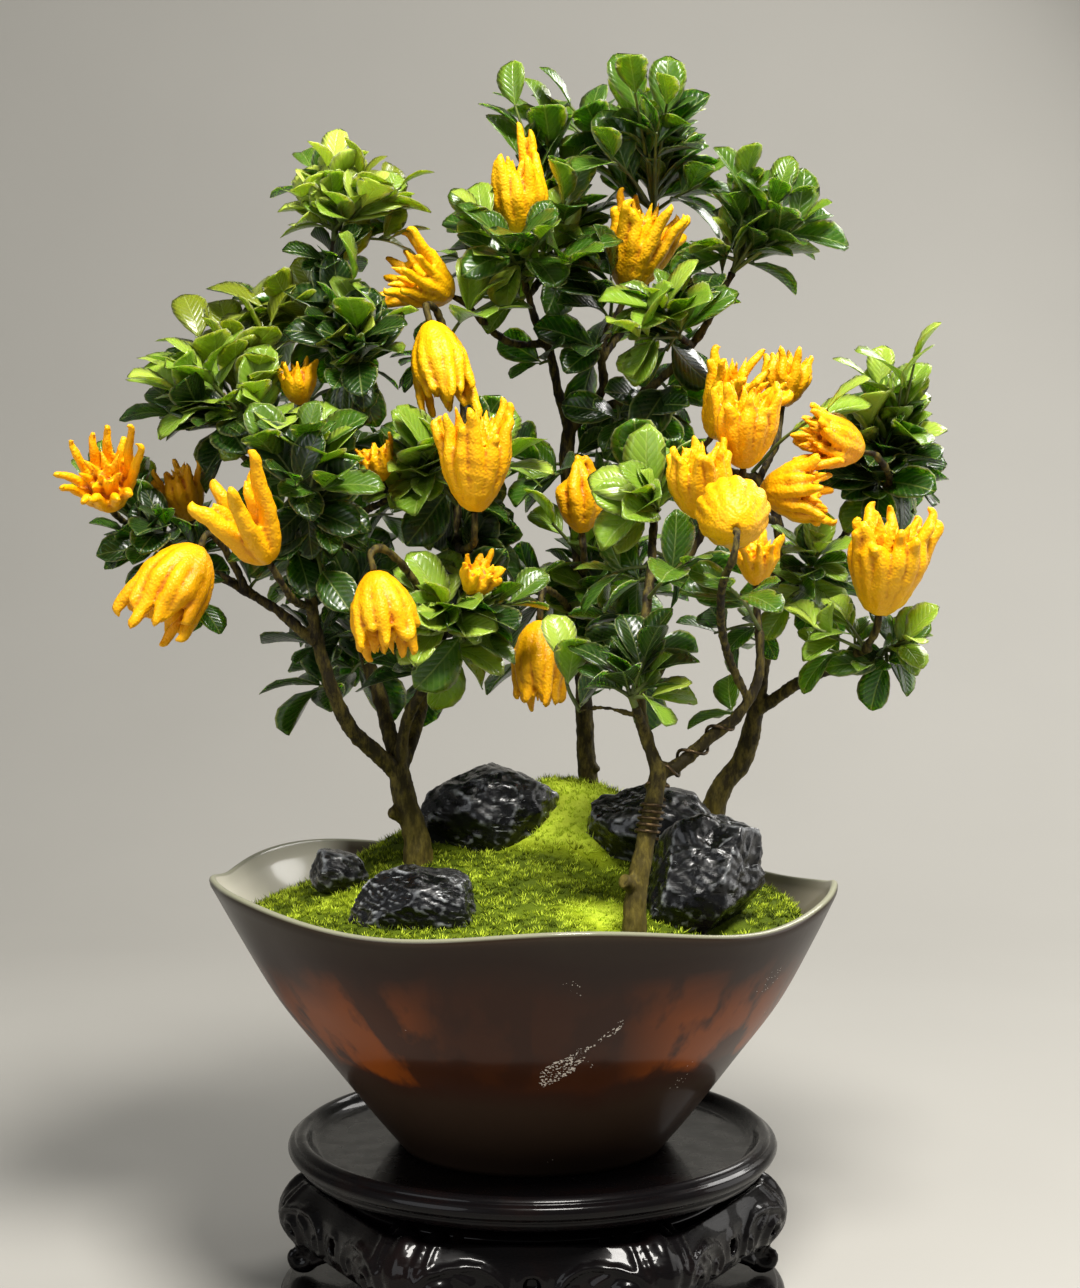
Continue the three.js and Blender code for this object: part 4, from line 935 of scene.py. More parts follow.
def glaze_material(settings):
    """Kiln glaze: umber with an orange-brown painted reflection at the sides, running to near black
    at the foot.
    """
    material, tree, shader = new_material(
        "glaze", roughness=0.4, specular_ior_level=0.03, coat_weight=0.32, coat_roughness=0.12)
    place = object_place(tree)
    x, y, z = apart(tree, place)
    cloud = noise_in(tree, place, 9, detail=5, distortion=0.6)
    level = plus(tree, z, times_plus(tree, cloud, 0.05, -0.025))
    share = range_in(tree, level, 0.09, 0.29)
    bands = ramp(tree, share, (
        (0.0, "#33271f"), (0.36, "#35281f"), (0.44, settings.glaze_low), (0.5, settings.glaze),
        (0.74, settings.glaze), (0.86, "#281a13"), (1.0, "#30281e")))
    # A painted reflection of an orange-red table is strongest at the two sides of the pot and runs
    # down in streaks
    streaks = noise_in(tree, object_place(tree, (1, 1, 0.22)), 26, detail=4)
    right = times(tree, above(tree, x, 0.0), 0.06)
    streaks = ramp(tree, plus(tree, streaks, right), ((0.45, 0.1), (0.54, 1.0)))
    across = unsigned(tree, parted(tree, x, 0.2))
    across = ramp(tree, across, ((0.26, 0.06), (0.48, 0.85), (0.74, 0.8), (0.9, 0.2)))
    reflection_there = times(tree, streaks, across)
    reflection_band = ramp(tree, share, ((0.43, 0.0), (0.46, 1.0), (0.66, 0.8), (0.82, 0.0)))
    painted_reflection = mixed(tree, times(tree, reflection_there, reflection_band), bands, settings.painted_reflection)
    dot = below(tree, cells_in(tree, place, 420), 0.15)
    many = above(tree, noise_in(tree, place, 24, detail=2), 0.68)
    # The flaw in the glaze: pale flecks scattered along one slanting line on the front
    flaw = add(tree, "ShaderNodeMapping", {
        "Vector": place, "Location": (0.030, 0, 0.205), "Rotation": (0, math.radians(-41), 0)},
        vector_type="TEXTURE")
    along, _, over = apart(tree, flaw.outputs["Vector"])
    # It is widest near its lower end
    reach = ramp(tree, times_plus(tree, along, 12, 0.5), (
        (0.06, 0.0), (0.14, 0.5), (0.3, 1.0), (0.5, 0.5), (0.62, 0.1), (0.8, 0.35), (0.94, 0.0)))
    reach = times(tree, reach, 0.007)
    wander = times_plus(tree, noise_in(tree, place, 90, detail=2), 0.012, -0.006)
    aside = unsigned(tree, plus(tree, over, wander))
    thin = below(tree, aside, reach)
    short = below(tree, unsigned(tree, along), 0.04)
    front = below(tree, y, -0.05)
    crumbs = above(tree, noise_in(tree, place, 560, detail=3), 0.56)
    streak = times(tree, times(tree, thin, short), times(tree, front, crumbs))
    specks = larger(tree, times(tree, dot, many), streak)
    speckled = mixed(tree, times(tree, specks, 0.9), painted_reflection, "#dcd4c8")
    # Inside, the glaze is a greyer one; its palest part at the left is painted light on the lit
    # inner wall
    lining_with_painted_light = ramp(tree, range_in(tree, x, -0.21, 0.21), (
        (0.04, settings.lining_with_painted_light), (0.12, settings.lining_with_painted_light), (0.17, "#3f362d"), (0.7, "#4b443a"),
        (0.9, "#77715f")))
    lined = mixed(tree, marked(tree, "inside"), speckled, lining_with_painted_light)
    # The rim, where the glaze drew thin over the pale clay and a highlight is painted along the
    # edge
    set_colour(tree, shader, mixed(tree, marked(tree, "rim"), lined, settings.rim))
    bumped(tree, shader, noise_in(tree, place, 55, detail=3), 0.35, 0.4)
    return material


def soil_material(settings):
    material, tree, shader = new_material("soil", roughness=0.95)
    grain = noise_in(tree, object_place(tree), 260, detail=6, roughness=0.7)
    set_colour(tree, shader, ramp(tree, grain, (
        (0.3, "#17110b"), (0.6, settings.soil), (0.8, "#5a4630"))))
    bumped(tree, shader, grain, 2.0)
    return material


def moss_material(settings):
    """Moss whose tone drifts over the mound and from one tuft to the next, with a few pools of
    painted light.
    """
    material, tree, shader = new_material("moss", roughness=0.9, specular_ior_level=0.1)
    place = object_place(tree)
    patches = noise_in(tree, place, 17, detail=4, roughness=0.6)
    tone = times_plus(tree, marked(tree, "tint"), 0.56, times(tree, patches, 0.58))
    # Pools of painted light brighten the moss round a few places
    for x, y, reach, gain in PAINTED_LIGHT_ON_MOSS:
        gap = add(tree, "ShaderNodeVectorMath", {0: place, 1: (x * MM, y * MM, 0.3)},
                  operation="DISTANCE").outputs["Value"]
        painted_light = ramp(tree, parted(tree, gap, reach * MM), ((0.3, gain), (1.0, 0.0)))
        tone = plus(tree, tone, painted_light)
    set_colour(tree, shader, ramp(tree, tone, (
        (0.2, settings.shade), (0.48, settings.mid), (0.66, settings.lit), (0.82, "#dcf04a"))))
    bumped(tree, shader, noise_in(tree, place, 420, detail=4), 1.2)
    return material


def rock_material(settings):
    """Wet black limestone, greyer on its ridges, with fine white scratches and few veins."""
    material, tree, shader = new_material(
        "rock", specular_ior_level=0.3, coat_weight=0.3, coat_roughness=0.08)
    place = object_place(tree)
    mottle = noise_in(tree, place, 60, detail=8, roughness=0.7)
    stone = ramp(tree, mottle, ((0.36, settings.stone), (0.62, "#0c0d10"), (0.78, "#2a2c30")))
    ridges = ramp(tree, marked(tree, "hollow"), ((0.12, 1.0), (0.42, 0.0)))
    broken = ramp(tree, noise_in(tree, place, 90, detail=5), ((0.45, 0.0), (0.6, 0.75)))
    stone = mixed(tree, times(tree, ridges, broken), stone, "#a2a5a8")
    # Scratches run along the bedding of the stone
    bedding = add(tree, "ShaderNodeMapping", {
        "Vector": place, "Rotation": (0.3, 0.5, 0), "Scale": (0.35, 1.2, 4)}).outputs["Vector"]
    scratch = noise_in(tree, bedding, 150, detail=7, roughness=0.75)
    where = ramp(tree, noise_in(tree, place, 34, detail=2), ((0.5, 0.0), (0.6, 0.9)))
    scratch = times(tree, ramp(tree, scratch, ((0.6, 0.0), (0.66, 1.0))), where)
    set_colour(tree, shader, mixed(tree, scratch, stone, settings.vein))
    set_colour(tree, shader, ramp(tree, mottle, ((0.4, 0.16), (0.7, 0.5))), "Roughness")
    rough = noise_in(tree, object_place(tree, (1, 1.4, 2.2)), 130, detail=9, roughness=0.68)
    bumped(tree, shader, rough, 0.9, 0.6)
    return material


def bark_material(settings):
    """Bark that is olive low on the trunks and darker higher up, as painted light below and painted
    shade under the leaves, ridged along the wood, with painted shade in its grooves.
    """
    material, tree, shader = new_material("bark", roughness=0.7, specular_ior_level=0.2)
    place = object_place(tree)
    blotch = noise_in(tree, place, 60, detail=6, roughness=0.6)
    lift = times_plus(tree, blotch, 0.16, apart(tree, place)[2])
    # Lighter low down and darker higher up: painted light on the trunks and painted shade among the
    # limbs
    base = ramp(tree, range_in(tree, lift, 0.36, 0.56), (
        (0.0, settings.bark_low), (0.4, "#2f2810"), (1.0, settings.bark)))
    flakes = noise_in(tree, object_place(tree, (1, 1, 0.35)), 210, detail=5, roughness=0.7)
    toned = mixed(tree, ramp(tree, flakes, ((0.44, 0.0), (0.68, 0.5))), base, "#8c7d34")
    # Painted shade darkens the bark's grooves to near black
    deep = times(tree, groove_shade_mask(tree, 0.52, 0.85), 0.85)
    set_colour(tree, shader, mixed(tree, deep, toned, "#0c0905"))
    bumped(tree, shader, flakes, 0.8, 0.9)
    return material


def wire_material(settings):
    material, tree, shader = new_material("wire", metallic=0.85)
    dull = noise_in(tree, object_place(tree), 300, detail=3)
    set_colour(tree, shader, ramp(tree, dull, ((0.35, settings.wire), (0.75, "#7b6545"))))
    set_colour(tree, shader, ramp(tree, dull, ((0.3, 0.32), (0.8, 0.6))), "Roughness")
    return material


def peel_material(settings):
    """Ripe citron peel: amber on lower fruit, painted shade of dark amber in the grooves, pebbled
    by its oil glands.
    """
    material, tree, shader = new_material(
        "peel", roughness=0.45, specular_ior_level=0.28, subsurface_weight=0.05,
        subsurface_scale=0.003, subsurface_radius=(1.0, 0.7, 0.1))
    place = object_place(tree)
    drift = noise_in(tree, place, 24, detail=3)
    tone = times_plus(tree, marked(tree, "tint"), 0.55, times(tree, drift, 0.6))
    skin = ramp(tree, tone, (
        (0.22, settings.peel_deep), (0.5, settings.peel), (0.8, settings.peel_light)))
    glands = cells_in(tree, place, 620, "SMOOTH_F1")
    pits = ramp(tree, glands, ((0.1, 0.0), (0.55, 1.0)))
    pitted = mixed(tree, times(tree, pits, 0.2), skin, settings.peel_deep)
    # Painted shade darkens the grooves between the fingers
    deep = times(tree, groove_shade_mask(tree, 0.5, 0.8), 0.9)
    set_colour(tree, shader, mixed(tree, deep, pitted, "#b05a06"))
    bumped(tree, shader, minus(tree, 1.0, glands), 0.7, 0.75)
    return material


def leaf_material(settings):
    """Glossy leaf: a pale midrib and edge, and side veins that dip between raised cushions."""
    material, tree, shader = new_material(
        "leaf", specular_ior_level=0.4, coat_weight=0.15, coat_roughness=0.12,
        subsurface_weight=0.3, subsurface_scale=0.004, subsurface_radius=(0.7, 1.0, 0.15))
    drift = noise_in(tree, object_place(tree), 90, detail=2)
    tone = plus(tree, marked(tree, "tint"), times_plus(tree, drift, 0.12, -0.06))
    # The darkest green is painted shade and the bright green painted light; the young green is the
    # leaves' own
    skin = ramp(tree, tone, (
        (0.0, settings.leaf_dark), (0.3, settings.leaf), (0.58, settings.leaf_bright),
        (0.8, settings.leaf_young), (0.9, settings.leaf_young), (0.97, settings.leaf_olive)))
    blade = add(tree, "ShaderNodeUVMap", uv_map="blade").outputs["UV"]
    across, along, _ = apart(tree, blade)
    aside = unsigned(tree, minus(tree, across, 0.5))
    # The veins leave the midrib forwards, so their phase falls with the way across the blade
    phase = minus(tree, times(tree, along, 9.0), times(tree, aside, 7.0))
    wave = unsigned(tree, wave_of(tree, times(tree, phase, math.pi)))
    cushion = raised(tree, wave, 0.6)
    midrib = range_in(tree, aside, 0.006, 0.03, 1.0, 0.0)
    vein = times(tree, minus(tree, 1.0, cushion), 0.1)
    pale = larger(tree, times(tree, midrib, 0.4), vein)
    lighter = mixed(tree, 0.5, skin, settings.leaf_vein)
    veined = mixed(tree, pale, skin, lighter)
    edge = ramp(tree, marked(tree, "margin"), ((0.88, 0.0), (0.97, 0.6)))
    set_colour(tree, shader, mixed(tree, edge, veined, lighter))
    patchy = noise_in(tree, object_place(tree), 260, detail=3)
    set_colour(tree, shader, ramp(tree, patchy, ((0.3, 0.24), (0.75, 0.42))), "Roughness")
    height = minus(tree, cushion, times(tree, midrib, 1.4))
    bumped(tree, shader, height, 0.4, 0.6)
    return material


def twig_material(settings):
    material, tree, shader = new_material("twig", roughness=0.6)
    blotch = noise_in(tree, object_place(tree), 120, detail=4)
    set_colour(tree, shader, ramp(tree, blotch, ((0.3, settings.twig), (0.7, "#6a7a2c"))))
    bumped(tree, shader, blotch, 0.3, 0.5)
    return material


# The stand


def spiral(centre, start, turns, wide):
    """Places along a volute in the plane of the apron, from its outer end to its eye."""
    steps = int(turns * 24)
    turn = [math.radians(start) + i / steps * turns * TURN for i in range(steps + 1)]
    reach = [wide * (1 - 0.84 * i / steps) for i in range(steps + 1)]
    return [(centre[0] + math.cos(t) * r, centre[1] + math.sin(t) * r)
            for t, r in zip(turn, reach)]


def carving():
    """The raised lines of the apron's carving beside one leg: their places, width and height."""
    lines = [(spiral((27, 50), 100, 1.5, 15), 2.7, 4.2)]
    for foot, head in ((0, 0), (3, 7), (6.5, 14), (10, 21)):
        flute = [(foot, 24), (foot * 1.5, 42), (mix(foot, head, 0.8), 60), (head, 79)]
        lines.append((flute, 2.3, 3.2))
    lines += CARVED_LINES
    lines.append((spiral((90, 54), 0, 1.0, 0.1), 12, 1.6))
    return [(smooth_path(line, 5), wide, high) for line, wide, high in lines]


def apron_relief(aside, height, lines):
    """How far the carving stands out at a place beside a leg."""
    relief = 0.0
    for line, wide, high in lines:
        gap = float(np.min(np.hypot(line[:, 0] - aside, line[:, 1] - height)))
        if gap < wide:
            relief = max(relief, high * math.sqrt(1 - (gap / wide) ** 2))
    return relief


def apron_body(sides):
    """The bellied band between the legs, raised by its carving."""
    lines = carving()
    rows = smooth_path([(between, height, knee) for height, between, knee in APRON[:5]], 11)
    steps = sides // STAND["legs"]
    half = [[apron_relief(k / steps * LEG_SPACING, height, lines) for k in range(steps // 2 + 1)]
            for _, height, _ in rows]
    points = [(0, 0, APRON[0][0]), (0, 0, STAND["base"])]
    for i, (between, height, knee) in enumerate(rows):
        for k in range(sides):
            angle = k / sides * TURN
            lobe = ((1 + math.cos(angle * STAND["legs"])) / 2) ** 1.5
            place = k % steps
            relief = half[i][min(place, steps - place)]
            arch = 5 * (1 - lobe) * smoothstep(46, 26, height)
            radius = mix(between, knee, lobe) + relief - 1.5
            points.append((*on_circle(radius, k, sides), height + arch))
    height, radius, _ = APRON[-1]
    points += [(*on_circle(radius, k, sides), height) for k in range(sides)]
    return mesh_object("apron", points, ring_faces(len(rows) + 1, sides))


def pierced(made, holes):
    """Cuts round holes into a piece. Each hole is an angle, a height and a radius."""
    builder = bmesh.new()
    for angle, height, radius in holes:
        out = level_way(angle)
        turn = out.to_track_quat("Z", "Y").to_matrix().to_4x4()
        place = Matrix.Translation((out * BORE_RADIUS + Vector((0, 0, height))) * MM) @ turn
        bmesh.ops.create_cone(builder, cap_ends=True, segments=SIDES["bore"], radius1=radius * MM,
                              radius2=radius * MM, depth=BORE_DEPTH * MM, matrix=place)
    cutter = linked("holes", mesh_from("holes", builder))
    cut = made.modifiers.new("Pierce", "BOOLEAN")
    cut.operation = "DIFFERENCE"
    cut.object = cutter
    baked(made)
    bpy.data.objects.remove(cutter)


def leg_paths(angle):
    """The bars of one bowed leg, and the scroll that its foot ends in."""
    out = level_way(angle)
    aside = Vector((-out.y, out.x, 0))

    def at(radius, height, shift=0):
        return out * radius + aside * shift + Vector((0, 0, height))

    paths = []
    for shift, girth in LEG_BARS:
        out_by = 1 - abs(shift) / 150
        bow = [at(radius * out_by, height, shift * share) for radius, height, share in LEG_BOW]
        bow.append(at(*LEG_END[:2], shift * LEG_END[2]))
        girths = [girth * share for share in (0.7, 1, 1, 1, 0.8, 0.6)]
        paths.append((smooth_path(bow, 5), girths))
    toe = [at(*place) for place in LEG_TOE]
    paths.append((smooth_path(toe, 5), [6.5, 6, 4.8, 3.8, 2.6]))
    return paths


def build_stand(settings):
    lacquer = lacquer_material(settings)
    floor, lip, radius = STAND["floor"], STAND["lip"], STAND["tray"]
    neck, base, foot = STAND["neck"], STAND["base"], STAND["foot"]
    tray = turned("tray_lacquered", rounded((
        (0, neck), (radius - 28, neck), (radius - 17, neck + 1.5), (radius - 9, neck + 5),
        (radius - 6, neck + 9), (radius - 6.5, neck + 11), (radius - 2, neck + 13),
        (radius, neck + 17), (radius - 1.5, neck + 21), (radius - 5, neck + 22.4),
        (radius - 5.5, lip - 2.2), (radius - 8, lip), (radius - 11.5, lip),
        (radius - 14, lip - 2.4), (radius - 16.5, floor + 3), (radius - 21, floor), (0, floor),
    ), 1.5), SIDES["tray"])
    finish(tray, ["stand_tray"], lacquer)
    low, high = base + SEAT_GAP, neck - SEAT_GAP
    waist = turned("waist_lacquered", rounded((
        (0, low), (130, low), (135, low + 1.6), (136, low + 4), (133.5, low + 6.6),
        (128, low + 7.4), (121, low + 8.4), (117, low + 10.6), (116, high), (0, high),
    ), 1.2), SIDES["neck"])
    finish(waist, ["stand_neck"], lacquer)
    board = turned("foot_lacquered", rounded((
        (0, 0), (168, 0), (172.5, 1.4), (174, 4), (172, 6.4), (168, 7.4), (168.5, foot),
        (0, foot),
    ), 1.2), SIDES["foot"])
    finish(board, ["stand_foot"], lacquer)
    legs = apron_body(settings.carving)
    spacing = TURN / STAND["legs"]
    holes = [(i * spacing + spacing / 2, *MIDDLE_HOLE) for i in range(STAND["legs"])]
    holes += [(i * spacing + side * math.radians(SIDE_HOLE_ANGLE), *SIDE_HOLE)
              for i in range(STAND["legs"]) for side in (-1, 1)]
    pierced(legs, holes)
    paths = []
    for i in range(STAND["legs"]):
        paths += leg_paths(i * spacing)
    low = foot + SEAT_GAP
    core = turned("core", rounded((
        (0, low), (118, low), (119, 30), (118, 40), (0, 40)), 1.5), SIDES["core"])
    join_into(legs, [core, tubes("bows", paths, SIDES["bows"])])
    thinned(melted(legs, settings.voxel), "legs")
    held_between(legs.data, low, neck - 2)
    finish(legs, ["stand_legs"], lacquer)


def join_into(made, others):
    """Joins other objects' meshes into one object."""
    bpy.ops.object.select_all(action="DESELECT")
    for other in (*others, made):
        other.select_set(True)
    bpy.context.view_layer.objects.active = made
    bpy.ops.object.join()


def held_between(mesh, low, high):
    """Holds a mesh between the two heights that its neighbours take up."""
    rows = vertex_array(mesh)
    rows[:, 2] = np.clip(rows[:, 2], low * MM, high * MM)
    set_vertices(mesh, rows)


# The pot


def pot_profile():
    """The pot's wall from its foot over the rim to its inner floor, and where the rim starts."""
    outside = smooth_path(POT_OUTSIDE, 7)
    inside = [(204.2, 276)] + [(r - POT["wall"], h + 2) for r, h in POT_OUTSIDE[-2::-1]]
    floor = STAND["floor"] + SEAT_GAP
    foot = [(84, floor + POT["hollow"]), (86, floor)]
    inner = [*smooth_path(inside, 6)[:-1], (80, floor + POT["floor"])]
    return [*foot, *outside, *POT_RIM, *inner], len(foot) + len(outside)


def build_pot(settings):
    profile, outer = pot_profile()
    floor = STAND["floor"] + SEAT_GAP
    sides = SIDES["pot"]
    points = [(0, 0, floor + POT["hollow"]), (0, 0, floor + POT["floor"])]
    pale, inside = [0.0, 0.0], [0.0, 1.0]
    for i, (radius, height) in enumerate(profile):
        for k in range(sides):
            points.append(pot_point(radius, height, k / sides * TURN))
            # The pale rim: thin glaze with a painted highlight along its edge
            pale.append(smoothstep(PALE_FROM, PALE_AT, height))
            inside.append(1.0 if i > outer + 3 else 0.0)
    pot = mesh_object("pot_glazed", points, ring_faces(len(profile), sides))
    set_attribute(pot.data, "rim", pale)
    set_attribute(pot.data, "inside", inside)
    finish(pot, ["pot"], glaze_material(settings))


# Soil, moss and rocks


def rock_clearance(x, y):
    """How far a place lies from the nearest rock or trunk, as a share of its radius."""
    nearest = 9.0
    for centre, half, _ in ROCKS.values():
        nearest = min(nearest, math.hypot((x - centre[0]) / half[0], (y - centre[1]) / half[1]))
    for foot_x, foot_y in FEET.values():
        nearest = min(nearest, math.hypot(x - foot_x, y - foot_y) / 8)
    return nearest


def moss_tree():
    """Tufts over the carpet: few where it is bare, each turned, leaned and toned at random."""
    tree, sockets = geometry_tree("moss_tufts", (
        ("Density", "Float", 48000.0), ("Tuft", "Object", None), ("Smallest", "Float", 0.7),
        ("Largest", "Float", 1.3), ("Seed", "Int", 7), ("Material", "Material", None)))
    where = times(tree, named(tree, "growth"), sockets["Density"])
    spots = add(tree, "GeometryNodeDistributePointsOnFaces", {
        "Mesh": sockets["Geometry"], "Density": where, "Seed": sockets["Seed"]})
    tuft = add(tree, "GeometryNodeObjectInfo", {"Object": sockets["Tuft"]})
    spin = add(tree, "FunctionNodeRandomValue", {
        0: (-0.35, -0.35, 0.0), 1: (0.35, 0.35, TURN), "Seed": 3}, data_type="FLOAT_VECTOR")
    spin = add(tree, "FunctionNodeEulerToRotation", {"Euler": spin})
    size = add(tree, "FunctionNodeRandomValue", {
        2: sockets["Smallest"], 3: sockets["Largest"], "Seed": 5})
    tufts = add(tree, "GeometryNodeInstanceOnPoints", {
        "Points": spots, "Instance": tuft.outputs["Geometry"], "Rotation": spin,
        "Scale": size.outputs[1]})
    tone = add(tree, "FunctionNodeRandomValue", {"Seed": 11})
    toned = add(tree, "GeometryNodeStoreNamedAttribute", {
        "Geometry": tufts, "Name": "tint", "Value": tone.outputs[1]},
        data_type="FLOAT", domain="INSTANCE")
    close_tree(tree, ((sockets["Geometry"], sockets["Material"]), (toned, sockets["Material"])))
    return tree


def tuft_object(blades, length):
    """A tuft of closed three-sided blades that lean out from one root."""
    points, faces = [], []
    for k in range(blades):
        angle = k / blades * TURN + 0.7 * draw(k, 3, 1)
        lean = 0.25 + 0.6 * draw(k, 4, 1)
        tall = length * (0.7 + 0.5 * draw(k, 5, 1))
        root = Vector((math.cos(angle), math.sin(angle), -0.6)) * 0.7
        tip = root + Vector((math.cos(angle) * lean, math.sin(angle) * lean, 1)) * tall
        first = len(points)
        for j in range(3):
            points.append(root + level_way(angle + j * TURN / 3) * 0.42)
        points.append(tip)
        faces += [(first + 2, first + 1, first)]
        faces += [(first + j, first + (j + 1) % 3, first + 3) for j in range(3)]
    return mesh_object("tuft", points, faces, bpy.data.collections.new("tufts"))


def build_ground(settings):
    # The soil stays the frame's own solid
    dress(bpy.data.objects["soil"], soil_material(settings))
    edge, sides, rings = MOSS["edge"] + 3, SIDES["moss"], MOSS_RINGS
    shift = POT["shift"]
    circle = [on_circle(1, k, sides) for k in range(sides)]
    outwards = [[(shift + edge * ring / rings * x, edge * ring / rings * y) for x, y in circle]
                for ring in range(1, rings + 1)]
    under = [(x, y, -MOSS["thickness"]) for ring in outwards for x, y in ring]
    over = [(x, y, 0) for ring in outwards[::-1] for x, y in ring]
    points = [(shift, 0, -MOSS["thickness"]), (shift, 0, 0), *under, *over]
    growth, placed = [], []
    for x, y, drop in points:
        lumps = 2.2 * noise.fractal(Vector((x, y, 3)) * 0.045, 0.8, 2.1, 4)
        fade = smoothstep(0.6, 0.8, rock_clearance(x, y))
        roll = -5 * smoothstep(edge - 14, edge, math.hypot(x - shift, y))
        z = mound_height(x, y) + (lumps + roll if drop == 0 else 0) + drop
        placed.append((x, y, z))
        growth.append(fade if drop == 0 else 0.0)
    carpet = mesh_object("moss_carpet", placed, ring_faces(2 * rings, sides))
    set_attribute(carpet.data, "growth", growth)
    set_attribute(carpet.data, "tint", [0.25] * len(placed))
    tuft = tuft_object(5, settings.tuft / MM)
    use_tree(carpet, moss_tree(), density=settings.tufts, tuft=tuft,
             material=moss_material(settings))
    baked(carpet)
    bpy.data.objects.remove(tuft)
    finish(carpet, ["moss"])


def rock_skin(index, centre, half, lean, detail):
    """A boulder: a ball cut by random planes, then broken up by ridged and fine noise."""
    planes = [(Vector((0.2, 0, 0.98)), 0.84)]
    for k in range(12):
        level = draw(index, k, 21) * 2 - 1
        angle = draw(index, k, 22) * TURN
        flat = math.sqrt(1 - level * level)
        planes.append((Vector((flat * math.cos(angle), flat * math.sin(angle), level)),
                       0.7 + 0.24 * draw(index, k, 23)))
    builder = bmesh.new()
    bmesh.ops.create_icosphere(builder, subdivisions=detail, radius=1)
    shift = Vector((index * 7.3, index * 3.1, 0))
    for vertex in builder.verts:
        way = vertex.co.normalized()
        reach = min([1.02] + [far / max(1e-6, way.dot(normal)) for normal, far in planes
                              if way.dot(normal) > 0.05])
        place = way * 1.7 + shift
        crag = noise.ridged_multi_fractal(place, 0.9, 2.2, 5, 1.0, 2.0)
        layer = noise.noise(Vector((place.x, place.y, (place.z + 0.5 * place.x) * 4)) * 1.5)
        fine = noise.fractal(place * 4, 0.8, 2.1, 4)
        reach = reach * (0.95 + 0.05 * crag) + 0.03 * layer + 0.012 * fine
        p = Vector((way.x * half[0], way.y * half[1], way.z * half[2])) * reach
        p.x += lean * p.z
        vertex.co = (p + Vector(centre)) * MM
    mesh = mesh_from("boulder", builder)
    set_smooth(mesh)
    mark_hollows(mesh, 2.5, 1)
    return mesh


def build_rocks(settings):
    stone = rock_material(settings)
    for index, (name, (centre, half, lean)) in enumerate(ROCKS.items()):
        # A small rock needs fewer faces
        mesh = rock_skin(index, centre, half, lean, 6 if half[0] > 30 else 5)
        finish(linked(name + "_stone", mesh), [name], stone)


# Wood


def trunk_rows(name):
    """A trunk's middle line, from its foot in the soil."""
    x, y = FEET[name]
    low = mound_height(x, y) - MOSS["thickness"] - ROOT_DEPTH
    return [(x, y, low), *LIMBS[name][0][0]]


def stalk_rows(fruit):
    base, tip = Vector(fruit[0]), Vector(fruit[1])
    along = (tip - base).normalized()
    return [*fruit[7], base - along * 12, base - along * SEAT_GAP]


def knots_on(rows, radii, key, gap):
    """Short stubs along a limb, where buds and old leaves stood."""
    paths = []
    lengths = np.linalg.norm(np.diff(rows, axis=0), axis=1)
    total = lengths.sum()
    for k in range(1, int(total / gap)):
        spot = (k + 0.5 * draw(key, k, 31)) * gap / total
        where = spot * (len(rows) - 1)
        i = min(int(where), len(rows) - 2)
        centre = Vector(rows[i]).lerp(Vector(rows[i + 1]), where - i)
        along = (Vector(rows[i + 1]) - Vector(rows[i])).normalized()
        out = spoke(*square_to(along), k * 2.4 + draw(key, k, 32))
        girth = float(np.interp(spot * (len(radii) - 1), range(len(radii)), radii))
        paths.append(([centre, centre + (out + along * 0.4) * girth * 0.75],
                      [girth * 0.7, girth * 0.5]))
    return paths


def build_wood(settings):
    bark = bark_material(settings)
    for number, (name, limbs) in enumerate(LIMBS.items()):
        paths = []
        for k, (points, radii, _) in enumerate(limbs):
            rows = smooth_path(trunk_rows(name) if k == 0 else points, 6)
            girths = [radii[0] * 1.02, mix(*radii, 0.3), mix(*radii, 0.65), radii[1]]
            if k == 0:
                girths = [radii[0] * share for share in ROOT_FLARE] + [radii[1]]
            paths.append((rows, girths))
            gap = KNOTS["close_gap"] if radii[0] > KNOTS["close_from"] else KNOTS["gap"]
            if radii[0] > KNOTS["from"]:
                paths += knots_on(rows, girths, number * 20 + k, gap)
        for fruit in FRUITS:
            if fruit[6] == name:
                stalk = smooth_path(stalk_rows(fruit), 6)
                paths.append((stalk, [STALK_RADIUS * 1.1, STALK_RADIUS * 0.9]))
        made = melted(tubes(f"wood_{name}_bark", paths, SIDES["limbs"]), settings.voxel)
        pushed(made.data, lambda p: (
            0.8 * noise.fractal(Vector((p.x, p.y, p.z * 0.6)) * 0.14, 0.8, 2.2, 3)
            + 0.4 * noise.noise(Vector((p.x, p.y, p.z * 0.4)) * 0.6)))
        mark_hollows(made.data)
        finish(thinned(made, "bark"), ["wood_" + name], bark)


def wound(points, turns, first, last):
    """Places of a wire that winds round a bent line, from one coil radius to another."""
    middle = smooth_path(points, 14 * turns // (len(points) - 1))
    rows = []
    for i, centre in enumerate(middle):
        before, after = middle[max(0, i - 1)], middle[min(len(middle) - 1, i + 1)]
        share = i / (len(middle) - 1)
        out = spoke(*square_to(Vector(after - before).normalized()), share * turns * TURN)
        rows.append(Vector(centre) + out * mix(first, last, share))
    return rows


def build_wire(settings):
    coil, radius = WIRE["coil"], WIRE["radius"]
    rows = wound([WIRE["start"], WIRE["end"]], WIRE["turns"], coil, coil)
    rows += wound(WIRE_ON, WIRE_ON_TURNS, coil, WIRE_ON_COIL)
    made = tubes("wire_wound", [(rows, [radius, radius])], SIDES["wire"])
    set_smooth(made.data)
    finish(made, ["training_wire"], wire_material(settings))


# Fruits


